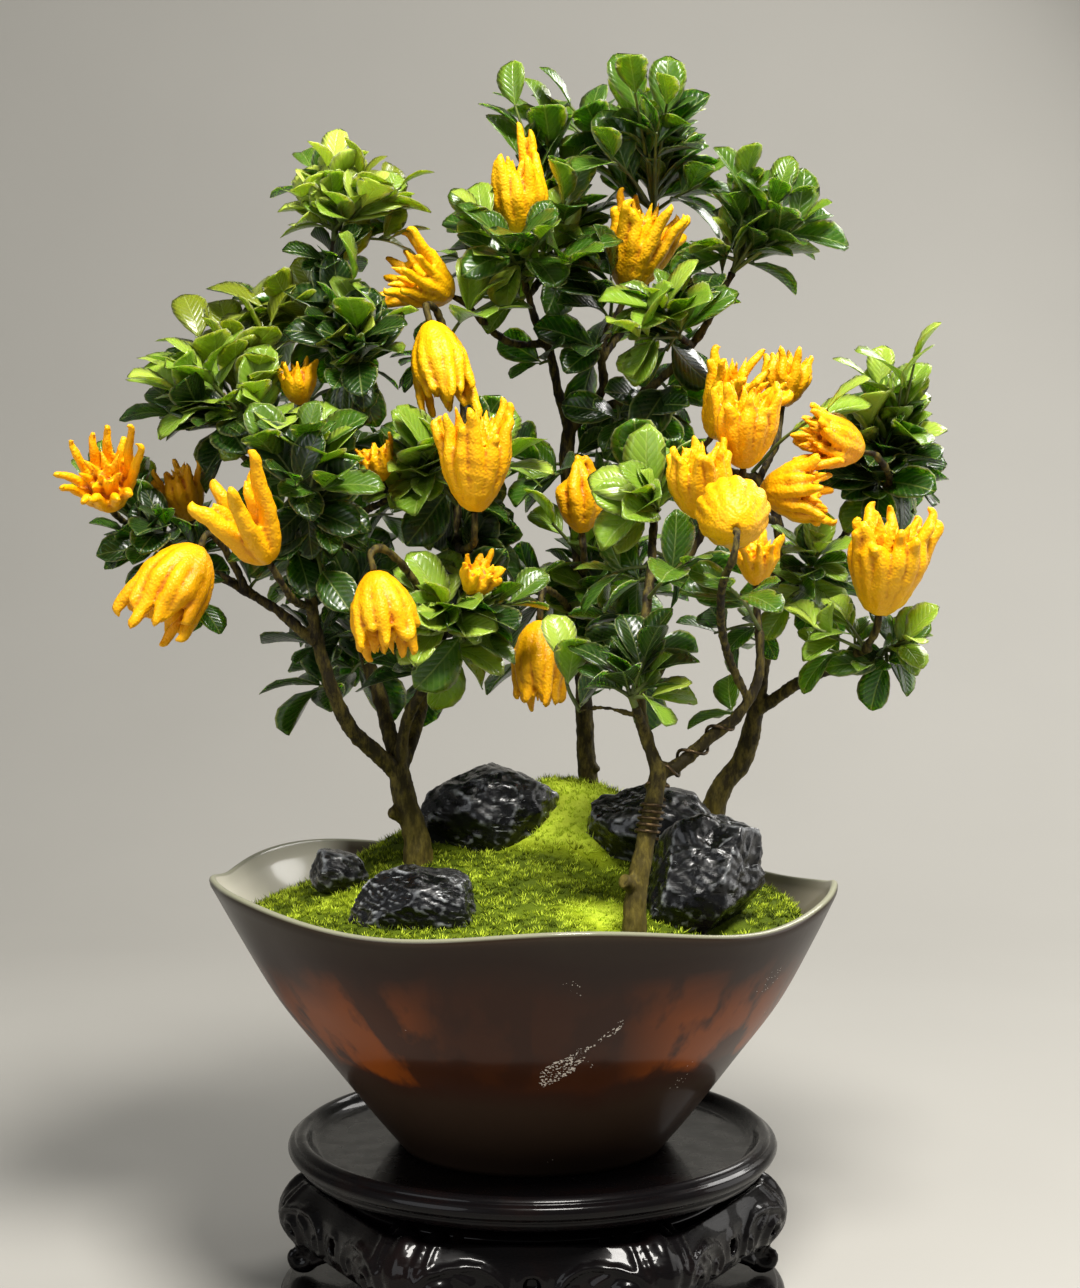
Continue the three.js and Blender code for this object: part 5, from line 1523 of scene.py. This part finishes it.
def fruit_paths(index, fruit):
    """Ribs that leave the stalk end, swell into the body and run on as long pointed fingers."""
    base, tip, radius, fingers, spread, long = Vector(fruit[0]), Vector(fruit[1]), *fruit[2:6]
    length = (tip - base).length
    along = (tip - base).normalized()
    across, over = square_to(along)
    sector = TURN / fingers
    turn = draw(index, 0, 5) * sector
    sides = FEW_FINGERS.get(index + 1, (-1, 1))

    def at(angle, out, up):
        return base + along * (up * length) + spoke(across, over, angle) * out

    closed = spread < 0.1 and long < 0.2
    end_out = radius * (0.16 if closed else 0.62 + 1.2 * spread)
    stout = 0.25 if len(sides) > 1 else 0.38
    paths = []
    for k in range(fingers):
        reach = 0.86 + 0.16 * draw(index, k, 7) + (long if k == 0 else 0)
        for side in sides:
            key = 2 * k + (side > 0)
            angle = turn + k * sector + side * sector * 0.25
            own = reach - 0.2 * draw(index, key, 41) * (side < 0) + 0.03
            twist = 0.5 * (draw(index, key, 42) - 0.5)
            thick = radius * (stout + 0.06 * (draw(index, key, 43) - 0.5))
            bow = radius * 0.34 * (draw(index, key, 44) - 0.45)
            rows = [
                at(angle, radius * 0.06, 0.02), at(angle, radius * 0.24, 0.08),
                at(angle, radius * 0.46, 0.19), at(angle, radius * 0.78 - thick * 0.6, 0.32),
                at(angle, radius * (0.95 + 0.1 * spread) - thick * 0.8, 0.45),
                at(angle + twist * 0.2, radius * (0.93 + 0.35 * spread) - thick * 0.7, 0.57),
                at(angle + twist * 0.5, mix(radius, end_out, 0.6) - thick * 0.5 + bow,
                   mix(0.57, own, 0.5)),
                at(angle + twist, end_out + bow, own * 0.94),
                at(angle + twist * 1.3, end_out * 0.9 + bow * 0.6, own),
            ]
            paths.append((smooth_path(rows, 4), [thick * share for share in FINGER_TAPER]))
    # Shorter fingers stand in rings inside the outer one
    rings = ((2, 0.5, 0.22),)
    if len(sides) > 1:
        rings = ((fingers + 1, 0.5, 0.2), (fingers - 3, 0.2, 0.19))
    if closed:
        rings = ()
    for ring, (count, inward, girth) in enumerate(rings):
        for k in range(count):
            angle = turn + (k + 0.5 * draw(index, k, 46 + ring)) * TURN / count
            own = 0.8 + 0.22 * draw(index, k, 48 + ring)
            thick = radius * girth
            rows = [at(angle, radius * 0.3, 0.3), at(angle, radius * 0.8 * inward, 0.48),
                    at(angle + 0.2, mix(radius * 0.8, end_out, 0.5) * inward, mix(0.5, own, 0.6)),
                    at(angle + 0.3, end_out * inward * 1.15, own)]
            paths.append((smooth_path(rows, 4), [thick, thick, thick * 0.8, thick * 0.16]))
    # The core fills a closed fruit nearly to its tip
    ups, girths = (0.02, 0.12, 0.28, 0.44), (0.12, 0.32, 0.55, 0.5)
    if closed:
        ups, girths = (0.02, 0.2, 0.5, 0.82), (0.12, 0.6, 0.74, 0.3)
    core = smooth_path([at(0, 0, up) for up in ups], 4)
    paths.append((core, [radius * girth for girth in girths]))
    return paths


def build_fruits(settings):
    peel = peel_material(settings)
    for index, fruit in enumerate(FRUITS):
        name = f"fruit_{index + 1:02d}"
        paths = fruit_paths(index, fruit)
        made = melted(tubes(name + "_peel", paths, SIDES["fingers"]), settings.voxel)
        pushed(made.data, lambda p: 0.6 * noise.fractal(p * 0.15, 0.8, 2.2, 2))
        mark_hollows(made.data)
        # The peel is lighter on higher fruit, with a random spread
        peel_tone = 0.42 + 0.2 * smoothstep(480, 660, fruit[0][2]) + 0.25 * (draw(index, 1, 51) - 0.5)
        set_attribute(made.data, "tint", [peel_tone] * len(made.data.vertices))
        finish(thinned(made, "peel"), [name], peel)


# Leafy sprays


def seat_of(spray):
    """The cap of the limb that carries a spray, and the way that the limb points there."""
    for limbs in LIMBS.values():
        for points, _, seats in limbs:
            if seats == spray:
                end, before = Vector(points[-1]), Vector(points[-2])
                along = (end - before).normalized()
                return end + along * SEAT_GAP, along
    raise ValueError("no limb seats " + spray)


def bowed(start, knee, end):
    """A twig from start to end that leans towards its knee."""
    return [start, start * 0.25 + knee * 0.5 + end * 0.25, end]


def twig_points(seat, shoot):
    start, along = seat
    start = start + along * (TWIG["stem_length"] * 0.7)
    reach = Vector(shoot[:3]) - start
    length = max(14, reach.length - LEAF["length"] * 0.9)
    end = start + reach.normalized() * length
    knee = (start + along * (length * 0.25)).lerp(start.lerp(end, 0.4), 0.5)
    return bowed(start, knee, end)


def leaf_place(points, key, leaf, count, turn_by=0.0):
    """A leaf's root, the way it points, its face and its length."""
    share = mix(0.3, 1, (leaf + 1) / count) if leaf < count else mix(0.3, 0.97, draw(key, leaf, 6))
    piece = 0 if share < 0.5 else 1
    root = points[piece].lerp(points[piece + 1], share * 2 - piece)
    along = (points[piece + 1] - points[piece]).normalized()
    is_end = leaf == count - 1
    if is_end:
        root = root - along * TWIG["end_root"]
    across, over = square_to(along)
    around = draw(key, 0, 1) * TURN + leaf * 2.4 + turn_by
    lean = 0.15 if is_end else mix(1.25, 0.75, share) + 0.4 * (draw(key, leaf, 2) - 0.5)
    way = (along * math.cos(lean) + across * (math.sin(lean) * math.cos(around))
           + over * (math.sin(lean) * math.sin(around))).normalized()
    # Leaves turn up towards the light
    way = (way + Vector((0, 0, mix(0.2, 0.65, draw(key, leaf, 12))))).normalized()
    up = along * 0.6 + Vector((0, -0.22, 0.8))
    up = (up - way * up.dot(way)).normalized()
    roll = 0.7 * (draw(key, leaf, 3) - 0.5)
    face = spoke(up, way.cross(up), roll)
    length = LEAF["length"] * mix(0.78, 1.14, draw(key, leaf, 4)) * (0.82 if is_end else 1)
    if leaf >= count:
        length *= mix(0.62, 0.95, draw(key, leaf, 8))
    return root, way, face, length


def seen_from_front(p):
    """How far aside and up a place is seen from the front, as shares of its distance."""
    depth = p.y - FRONT_EYE.y
    return ((p.x - FRONT_EYE.x) / depth, (p.z - FRONT_EYE.z) / depth)


def leaf_is_clear(place):
    """Whether a leaf neither runs into a fruit nor hangs close before it."""
    root, way, face, length = place
    side = face.cross(way)
    spots = [root + way * (s * length) + side * (v * length) - face * (0.16 * s * s * length)
             for s, v in BLADE_SPOTS]
    for base, tip, radius, _, spread, *_ in FRUITS:
        base, tip = Vector(base), Vector(tip)
        if (base - root).length > LEAF_BEFORE["near"]:
            continue
        for spot in spots:
            share = min(1.1, max(0, nearest_share(spot, base, tip)))
            middle = base.lerp(tip, share)
            girth = radius * mix(0.95, 0.8 + spread, share) if share > 0.2 else radius * 0.7
            if (spot - middle).length < girth + 1:
                return False
            forward = middle.y - spot.y
            if share > 0.25 and middle.y < base.y + 30 and 0 < forward < LEAF_BEFORE["front"]:
                gap = math.dist(seen_from_front(spot), seen_from_front(middle))
                if gap * -FRONT_EYE.y < girth * LEAF_BEFORE["share"]:
                    return False
    return True


def leaf_is_inside(place):
    """Whether a leaf stays inside the frame's own box."""
    root, way, face, length = place
    tip = (root + way * (length * 1.02) - face * (0.2 * length)) * MM
    return all(low + MM < c < high - MM for c, low, high in zip(tip, *CAD_BOX))


def leaf_blade(kind):
    """One of the leaf shapes, one unit long, that points along Y with its face up."""
    across, rows = BLADE_ACROSS, len(BLADE_ROWS) - 1
    fold = mix(0.1, 0.55, draw(kind, 1, 61))
    droop = mix(0.05, 0.4, draw(kind, 2, 61))
    twist = 0.5 * (draw(kind, 3, 61) - 0.5)
    wide = LEAF["half_width"] * mix(1.08, 1.32, draw(kind, 5, 61))
    top, bottom, margin, places = [], [], [], []
    for i, s in enumerate(BLADE_ROWS):
        outline = float(np.interp(s, BLADE_SHARES, BLADE_WIDTHS))
        for j in range(across + 1):
            v = j / across * 2 - 1
            x = v * wide * outline
            wave = 0.01 * math.sin(s * 17 + kind) * v * v
            z = fold * abs(x) - droop * s ** 2.4 + wave + twist * s * x
            is_edge = j in (0, across) or i in (0, rows)
            top.append((x, s, z))
            bottom.append((x, s, z - (0 if is_edge else BLADE_THICKNESS)))
            margin.append(abs(v))
            places.append((v * 0.5 * outline + 0.5, s))
    return top, bottom, margin, places


def leaf_objects(kinds):
    """The leaf shapes as closed thin blades, each with its place on the blade as a UV map."""
    collection = bpy.data.collections.new("leaf_kinds")
    for kind in range(kinds):
        points, bottom, margins, uvs = leaf_blade(kind)
        # The blade's two faces share the points round its edge
        under_of = list(range(len(bottom)))
        for i, p in enumerate(bottom):
            if p != points[i]:
                under_of[i] = len(points)
                points.append(p)
                margins.append(margins[i])
                uvs.append(uvs[i])
        faces, across = [], BLADE_ACROSS
        for i in range(len(BLADE_ROWS) - 1):
            for j in range(across):
                a = i * (across + 1) + j
                quad = (a, a + 1, a + across + 2, a + across + 1)
                faces += [quad, tuple(under_of[c] for c in quad[::-1])]
        mesh = bpy.data.meshes.new(f"leaf_{kind}")
        mesh.from_pydata(points, [], faces)
        set_smooth(mesh)
        set_attribute(mesh, "margin", margins)
        layer = mesh.uv_layers.new(name="blade")
        corners = [c for polygon in mesh.polygons for c in polygon.vertices]
        layer.data.foreach_set("uv", np.array([uvs[c] for c in corners], np.float32).ravel())
        collection.objects.link(bpy.data.objects.new(f"leaf_{kind}", mesh))
    return collection


def spray_tree():
    """Twigs along the paths of a spray, and at each loose point a leaf of the point's own kind."""
    tree, sockets = geometry_tree("leafy_spray", (
        ("Leaves", "Collection", None), ("Sides", "Int", 6), ("Leaf", "Material", None),
        ("Twig", "Material", None)))
    twigs = tubes_in(tree, sockets["Geometry"], sockets["Sides"])
    smooth = add(tree, "GeometryNodeSetShadeSmooth", {"Geometry": twigs})
    kinds = add(tree, "GeometryNodeCollectionInfo", {
        "Collection": sockets["Leaves"], "Separate Children": True, "Reset Children": True})
    is_leaf = add(tree, "FunctionNodeCompare", {0: named(tree, "size"), 1: 1e-5},
                  data_type="FLOAT", operation="GREATER_THAN")
    turn = add(tree, "FunctionNodeEulerToRotation", {"Euler": named(tree, "turn", "FLOAT_VECTOR")})
    leaves = add(tree, "GeometryNodeInstanceOnPoints", {
        "Points": sockets["Geometry"], "Selection": is_leaf, "Instance": kinds,
        "Pick Instance": True, "Instance Index": named(tree, "kind", "INT"), "Rotation": turn,
        "Scale": named(tree, "size")})
    close_tree(tree, ((smooth, sockets["Twig"]), (leaves, sockets["Leaf"])))
    return tree


def nearest_wood(place):
    """The point of the limbs' middle lines that lies nearest, and the way that the wood runs."""
    best = None
    for limbs in LIMBS.values():
        for points, _, _ in limbs:
            for start, end in zip(points, points[1:]):
                start, end = Vector(start), Vector(end)
                share = min(1, max(0, nearest_share(place, start, end)))
                spot = start.lerp(end, share)
                if best is None or (place - spot).length < best[0]:
                    best = ((place - spot).length, spot, (end - start).normalized())
    return best[1], best[2]


def more_twig(place):
    """A thin bowed twig from the nearest wood to where a shoot's leaves stand."""
    start, along = nearest_wood(place)
    reach = place - start
    length = max(12, reach.length - LEAF["length"] * 0.5)
    end = start + reach.normalized() * length
    knee = start.lerp(end, 0.5) + along * (length * 0.15) + Vector((0, 0, -0.06 * length))
    return bowed(start, knee, end)


def spray_parts(number, name, fill, kinds):
    """The twig paths of a spray, and for each of its leaves a place, turn, size, kind and tint."""
    tones, shoots = SPRAYS[name]
    seat = seat_of(name)
    start, along = seat
    paths = [([start, start + along * TWIG["stem_length"]],
              [TWIG["stem_radius"], TWIG["stem_radius"] * 0.9])]
    grown = [(twig_points(seat, shoot), shoot[3], tones[i], 1) for i, shoot in enumerate(shoots)]
    for letter, (x, y, z, count) in zip(*MORE_SHOOTS.get(name, ("", ()))):
        grown.append((more_twig(Vector((x, y, z))), count, letter, 0.8))
        # A like shoot behind, where the photo does not reach
        behind = Vector((x * 0.94, 30 + abs(y) * 0.9 + 45 * draw(x, z, 1), z - 12 * draw(x, z, 2)))
        if count > 3:
            grown.append((more_twig(behind), count, "d" if letter == "d" else "m", 0.8))
    leaves = []
    for shoot_number, (points, count, letter, girth) in enumerate(grown):
        paths.append((smooth_path(points, 5), [wide * girth for wide in TWIG["girths"]]))
        key = number * 20 + shoot_number
        for leaf in range(count + round(count * fill)):
            place = leaf_place(points, key, leaf, count)
            tries = 0
            while tries < LEAF_TRIES and not (leaf_is_clear(place) and leaf_is_inside(place)):
                tries += 1
                place = leaf_place(points, key, leaf, count, tries * LEAF_TURN)
            if tries == LEAF_TRIES:
                continue
            root, way, face, length = place
            length *= SMALL_LEAVES.get(name, 1)
            turn = Matrix((way.cross(face), way, face)).transposed().to_euler()
            # Inner leaves of a shoot are painted darker, as shade, but not the olive ones
            inner = 1 - (leaf + 1) / count if leaf < count else 0.6
            tint = TONES[letter] - 0.24 * inner * (letter != "o") + 0.1 * (draw(key, leaf, 9) - 0.5)
            leaves.append((root, tuple(turn), length * MM, int(draw(key, leaf, 10) * kinds) % kinds,
                           min(1, max(0, tint))))
    return paths, leaves


def build_sprays(settings):
    leaf, twig = leaf_material(settings), twig_material(settings)
    collection = leaf_objects(settings.kinds)
    tree = spray_tree()
    for number, name in enumerate(SPRAYS):
        paths, leaves = spray_parts(number, name, settings.fill, settings.kinds)
        made = skeleton(name + "_leaves", paths, [row[0] for row in leaves])
        bare = len(made.data.vertices) - len(leaves)
        _, turns, sizes, shapes, tints = zip(*leaves)
        set_attribute(made.data, "turn", [(0, 0, 0)] * bare + list(turns), "FLOAT_VECTOR")
        set_attribute(made.data, "size", [0] * bare + list(sizes))
        set_attribute(made.data, "kind", [0] * bare + list(shapes), "INT")
        set_attribute(made.data, "tint", [0] * bare + list(tints))
        use_tree(made, tree, leaves=collection, leaf=leaf, twig=twig)
        baked(made)
        finish(made, ["spray_" + name])
    for made in list(collection.objects):
        bpy.data.objects.remove(made)


# The studio


def area_light(name, place, target, size, power, tone):
    lamp = bpy.data.lights.new(name, "AREA")
    lamp.shape = "DISK"
    lamp.size, lamp.energy, lamp.color = size, power, tone
    made = linked(name, lamp)
    made.location = place
    made.rotation_euler = (Vector(target) - Vector(place)).to_track_quat("-Z", "Y").to_euler()


def build_studio(settings):
    turn, curve, half = FLOOR["turn"], FLOOR["curve"], FLOOR["half"]
    sweep = [(FLOOR["front"], 0.0), (turn, 0.0)]
    sweep += [(turn + curve * math.sin(a), curve - curve * math.cos(a))
              for a in np.linspace(0, math.pi / 2, 14)[1:]]
    sweep += [(turn + curve, FLOOR["top"])]
    points = [(x / MM, y / MM, z / MM) for y, z in sweep for x in (-half, half)]
    faces = [(2 * i, 2 * i + 1, 2 * i + 3, 2 * i + 2) for i in range(len(sweep) - 1)]
    floor = mesh_object("floor", points, faces)
    material, tree, shader = new_material("backdrop", roughness=0.7)
    cloth = noise_in(tree, object_place(tree), 3, detail=2)
    darker = [c * 0.97 for c in settings.floor]
    set_colour(tree, shader, ramp(tree, cloth, ((0.3, settings.floor), (0.7, darker))))
    dress(floor, material)
    for name, (place, height, size, share, tint) in LIGHTS.items():
        area_light(name, place, (0, 0, height), size, settings.key * share, tint)
    world = bpy.data.worlds.new("studio_air")
    world.use_nodes = True
    air = world.node_tree.nodes["Background"].inputs
    air["Color"].default_value = (0.8, 0.8, 0.78, 1)
    air["Strength"].default_value = settings.air
    bpy.context.scene.world = world
    camera = bpy.data.cameras.new("camera")
    camera.lens, camera.sensor_width = settings.lens, 36
    made = linked("camera", camera)
    made.location = FRONT_EYE * MM
    made.rotation_euler = Euler((math.radians(90 - settings.pitch), 0, 0))
    bpy.context.scene.camera = made
    # Colours as a plain camera shows them, so that the peel stays a full yellow
    bpy.context.scene.view_settings.view_transform = "Standard"


# Settings


def tone(name, description, code):
    return FloatVectorProperty(name=name, description=description, subtype="COLOR", size=3,
                               min=0, max=1, default=colour(code)[:3])


def amount(name, description, default, **more):
    return FloatProperty(name=name, description=description, default=default, **more)


def length(name, description, millimetres):
    return amount(name, description, millimetres * MM, unit="LENGTH", min=0)


class StandSettings(PropertyGroup):
    """Colours and detail of the carved stand."""

    lacquer: tone("Lacquer", "Colour of the black lacquer", "#0a0809")
    lacquer_worn: tone("Worn lacquer", "Colour where the lacquer is thin", "#140a08")
    carving: IntProperty(name="Carving", description="Steps round the carved apron",
                         subtype="UNSIGNED", min=48, default=420)
    voxel: length("Detail", "Smallest step of the carved skin", 1.6)


class PotSettings(PropertyGroup):
    """Colours of the pot's glaze."""

    glaze: tone("Glaze", "Umber of the pot's sides", "#321b10")
    glaze_low: tone("Low glaze", "Darker glaze towards the foot", "#342018")
    # The rim's pale colour is thin glaze with a painted highlight along the edge
    rim: tone("Rim", "Pale edge where the glaze is thin", "#8a8a74")
    # Orange brown of the painted reflection at the pot's sides
    painted_reflection: tone("Rust", "Orange brown that breaks through at the sides", "#8c4510")
    # The palest inner glaze stands for light falling on the inner wall at the left
    lining_with_painted_light: tone("Lining", "Pale grey glaze inside the rim", "#c4c0b0")


class GroundSettings(PropertyGroup):
    """Soil and moss."""

    soil: tone("Soil", "Colour of the soil", "#33261a")
    shade: tone("Shaded moss", "Deepest green of the moss", "#28340a")
    mid: tone("Moss", "Middle green of the moss", "#566612")
    lit: tone("Bright moss", "Green of the brightest tufts", "#93a41c")
    tuft: length("Tuft height", "Length of a tuft's blades", 3.6)
    tufts: amount("Tufts", "Tufts on a square metre", 48000, subtype="UNSIGNED", min=0)


class RockSettings(PropertyGroup):
    """Colours of the black rocks."""

    stone: tone("Stone", "Colour of the wet black stone", "#060607")
    vein: tone("Vein", "Colour of the thin white veins", "#c9ccce")


class WoodSettings(PropertyGroup):
    """Bark and wire."""

    # Olive of the lit trunks and dark of the shaded limbs: painted light and shade
    bark_low: tone("Low bark", "Olive bark low on the trunks", "#50461a")
    bark: tone("Bark", "Darker bark of the limbs", "#1e1810")
    wire: tone("Wire", "Colour of the training wire", "#2b241c")
    voxel: length("Bark detail", "Smallest step of the bark's skin", 1.15)


class FruitSettings(PropertyGroup):
    """Peel of the fingered fruit."""

    peel: tone("Peel", "Colour of ripe peel", "#f3b203")
    peel_light: tone("Light peel", "Colour of the brightest peel", "#fdc60a")
    peel_deep: tone("Deep peel", "Amber of the deeper fruit", "#e28a02")
    voxel: length("Peel detail", "Smallest step of the peel's skin", 1.4)


class LeafSettings(PropertyGroup):
    """Leaves and twigs."""

    # The dark green is painted shade on the inner leaves, the bright green painted light on the
    # upper ones
    leaf_dark: tone("Dark leaf", "Green of the inner leaves", "#102a06")
    leaf: tone("Leaf", "Green of grown leaves", "#2b4f08")
    leaf_bright: tone("Bright leaf", "Green of the upper leaves", "#7a9a2c")
    leaf_young: tone("Young leaf", "Green of the newest leaves", "#b8cc52")
    leaf_olive: tone("Olive leaf", "Green of leaves lit from behind", "#6b7614")
    leaf_vein: tone("Vein", "Pale green of the veins and edge", "#cfe080")
    twig: tone("Twig", "Colour of young twigs", "#3b4419")
    fill: amount("Fill", "Leaves added for each leaf of the frame's rule", 0.1,
                 subtype="FACTOR", min=0, max=3)
    kinds: IntProperty(name="Shapes", description="Different leaf shapes",
                       subtype="UNSIGNED", min=1, default=8)


class StudioSettings(PropertyGroup):
    """Floor, lights and camera."""

    floor: tone("Floor", "Colour of the pale floor", "#a6a49e")
    key: amount("Key light", "Power of the main light in watts", 104, unit="POWER")
    air: amount("Air", "Strength of the light from all around", 0.2, subtype="FACTOR")
    lens: amount("Lens", "Focal length in millimetres", 61.49, unit="CAMERA")
    pitch: amount("Pitch", "How far the camera looks down, in degrees", 3.33)


# Operators


class BONSAI_OT_studio(Operator):
    """Set up the floor, the lights and the camera"""

    bl_idname = "bonsai.studio"
    bl_label = "Studio"

    def execute(self, context):
        build_studio(context.scene.bonsai_studio)
        return {"FINISHED"}


class BONSAI_OT_stand(Operator):
    """Build the carved and lacquered stand"""

    bl_idname = "bonsai.stand"
    bl_label = "Stand"

    def execute(self, context):
        build_stand(context.scene.bonsai_stand)
        return {"FINISHED"}


class BONSAI_OT_pot(Operator):
    """Build the glazed pot with its ruffled rim"""

    bl_idname = "bonsai.pot"
    bl_label = "Pot"

    def execute(self, context):
        build_pot(context.scene.bonsai_pot)
        return {"FINISHED"}


class BONSAI_OT_ground(Operator):
    """Dress the soil and grow the moss over it"""

    bl_idname = "bonsai.ground"
    bl_label = "Soil and Moss"

    def execute(self, context):
        build_ground(context.scene.bonsai_ground)
        return {"FINISHED"}


class BONSAI_OT_rocks(Operator):
    """Break the five black rocks"""

    bl_idname = "bonsai.rocks"
    bl_label = "Rocks"

    def execute(self, context):
        build_rocks(context.scene.bonsai_rocks)
        return {"FINISHED"}


class BONSAI_OT_wood(Operator):
    """Grow the trunks, limbs and fruit stalks"""

    bl_idname = "bonsai.wood"
    bl_label = "Wood"

    def execute(self, context):
        build_wood(context.scene.bonsai_wood)
        return {"FINISHED"}


class BONSAI_OT_wire(Operator):
    """Wind the training wire round its trunk"""

    bl_idname = "bonsai.wire"
    bl_label = "Training Wire"

    def execute(self, context):
        build_wire(context.scene.bonsai_wood)
        return {"FINISHED"}


class BONSAI_OT_fruits(Operator):
    """Grow the fingered fruits"""

    bl_idname = "bonsai.fruits"
    bl_label = "Fruits"

    def execute(self, context):
        build_fruits(context.scene.bonsai_fruits)
        return {"FINISHED"}


class BONSAI_OT_sprays(Operator):
    """Grow the twigs and their leaves"""

    bl_idname = "bonsai.sprays"
    bl_label = "Leafy Sprays"

    def execute(self, context):
        build_sprays(context.scene.bonsai_leaves)
        return {"FINISHED"}


SETTINGS = {
    "bonsai_studio": StudioSettings,
    "bonsai_stand": StandSettings,
    "bonsai_pot": PotSettings,
    "bonsai_ground": GroundSettings,
    "bonsai_rocks": RockSettings,
    "bonsai_wood": WoodSettings,
    "bonsai_fruits": FruitSettings,
    "bonsai_leaves": LeafSettings,
}

OPERATORS = (
    BONSAI_OT_studio, BONSAI_OT_stand, BONSAI_OT_pot, BONSAI_OT_ground, BONSAI_OT_rocks,
    BONSAI_OT_wood, BONSAI_OT_wire, BONSAI_OT_fruits, BONSAI_OT_sprays,
)


class BONSAI_PT_panel(Panel):
    """The operators in the order that main() calls them, and the settings that they read"""

    bl_label = "Citron Bonsai"
    bl_idname = "BONSAI_PT_panel"
    bl_space_type = "VIEW_3D"
    bl_region_type = "UI"
    bl_category = "Bonsai"

    def draw(self, context):
        for operator in OPERATORS:
            self.layout.operator(operator.bl_idname)
        for name, group in SETTINGS.items():
            box = self.layout.box()
            box.label(text=group.__name__.replace("Settings", ""))
            for field in group.__annotations__:
                box.prop(getattr(context.scene, name), field)


def register():
    for group in SETTINGS.values():
        bpy.utils.register_class(group)
    for name, group in SETTINGS.items():
        setattr(bpy.types.Scene, name, PointerProperty(type=group))
    for operator in OPERATORS:
        bpy.utils.register_class(operator)
    bpy.utils.register_class(BONSAI_PT_panel)


def unregister():
    bpy.utils.unregister_class(BONSAI_PT_panel)
    for operator in reversed(OPERATORS):
        bpy.utils.unregister_class(operator)
    for name, group in SETTINGS.items():
        delattr(bpy.types.Scene, name)
        bpy.utils.unregister_class(group)


def main():
    register()
    bpy.ops.bonsai.studio()
    bpy.ops.bonsai.stand()
    bpy.ops.bonsai.pot()
    bpy.ops.bonsai.ground()
    bpy.ops.bonsai.rocks()
    bpy.ops.bonsai.wood()
    bpy.ops.bonsai.wire()
    bpy.ops.bonsai.fruits()
    bpy.ops.bonsai.sprays()


if __name__ == "__main__":
    main()
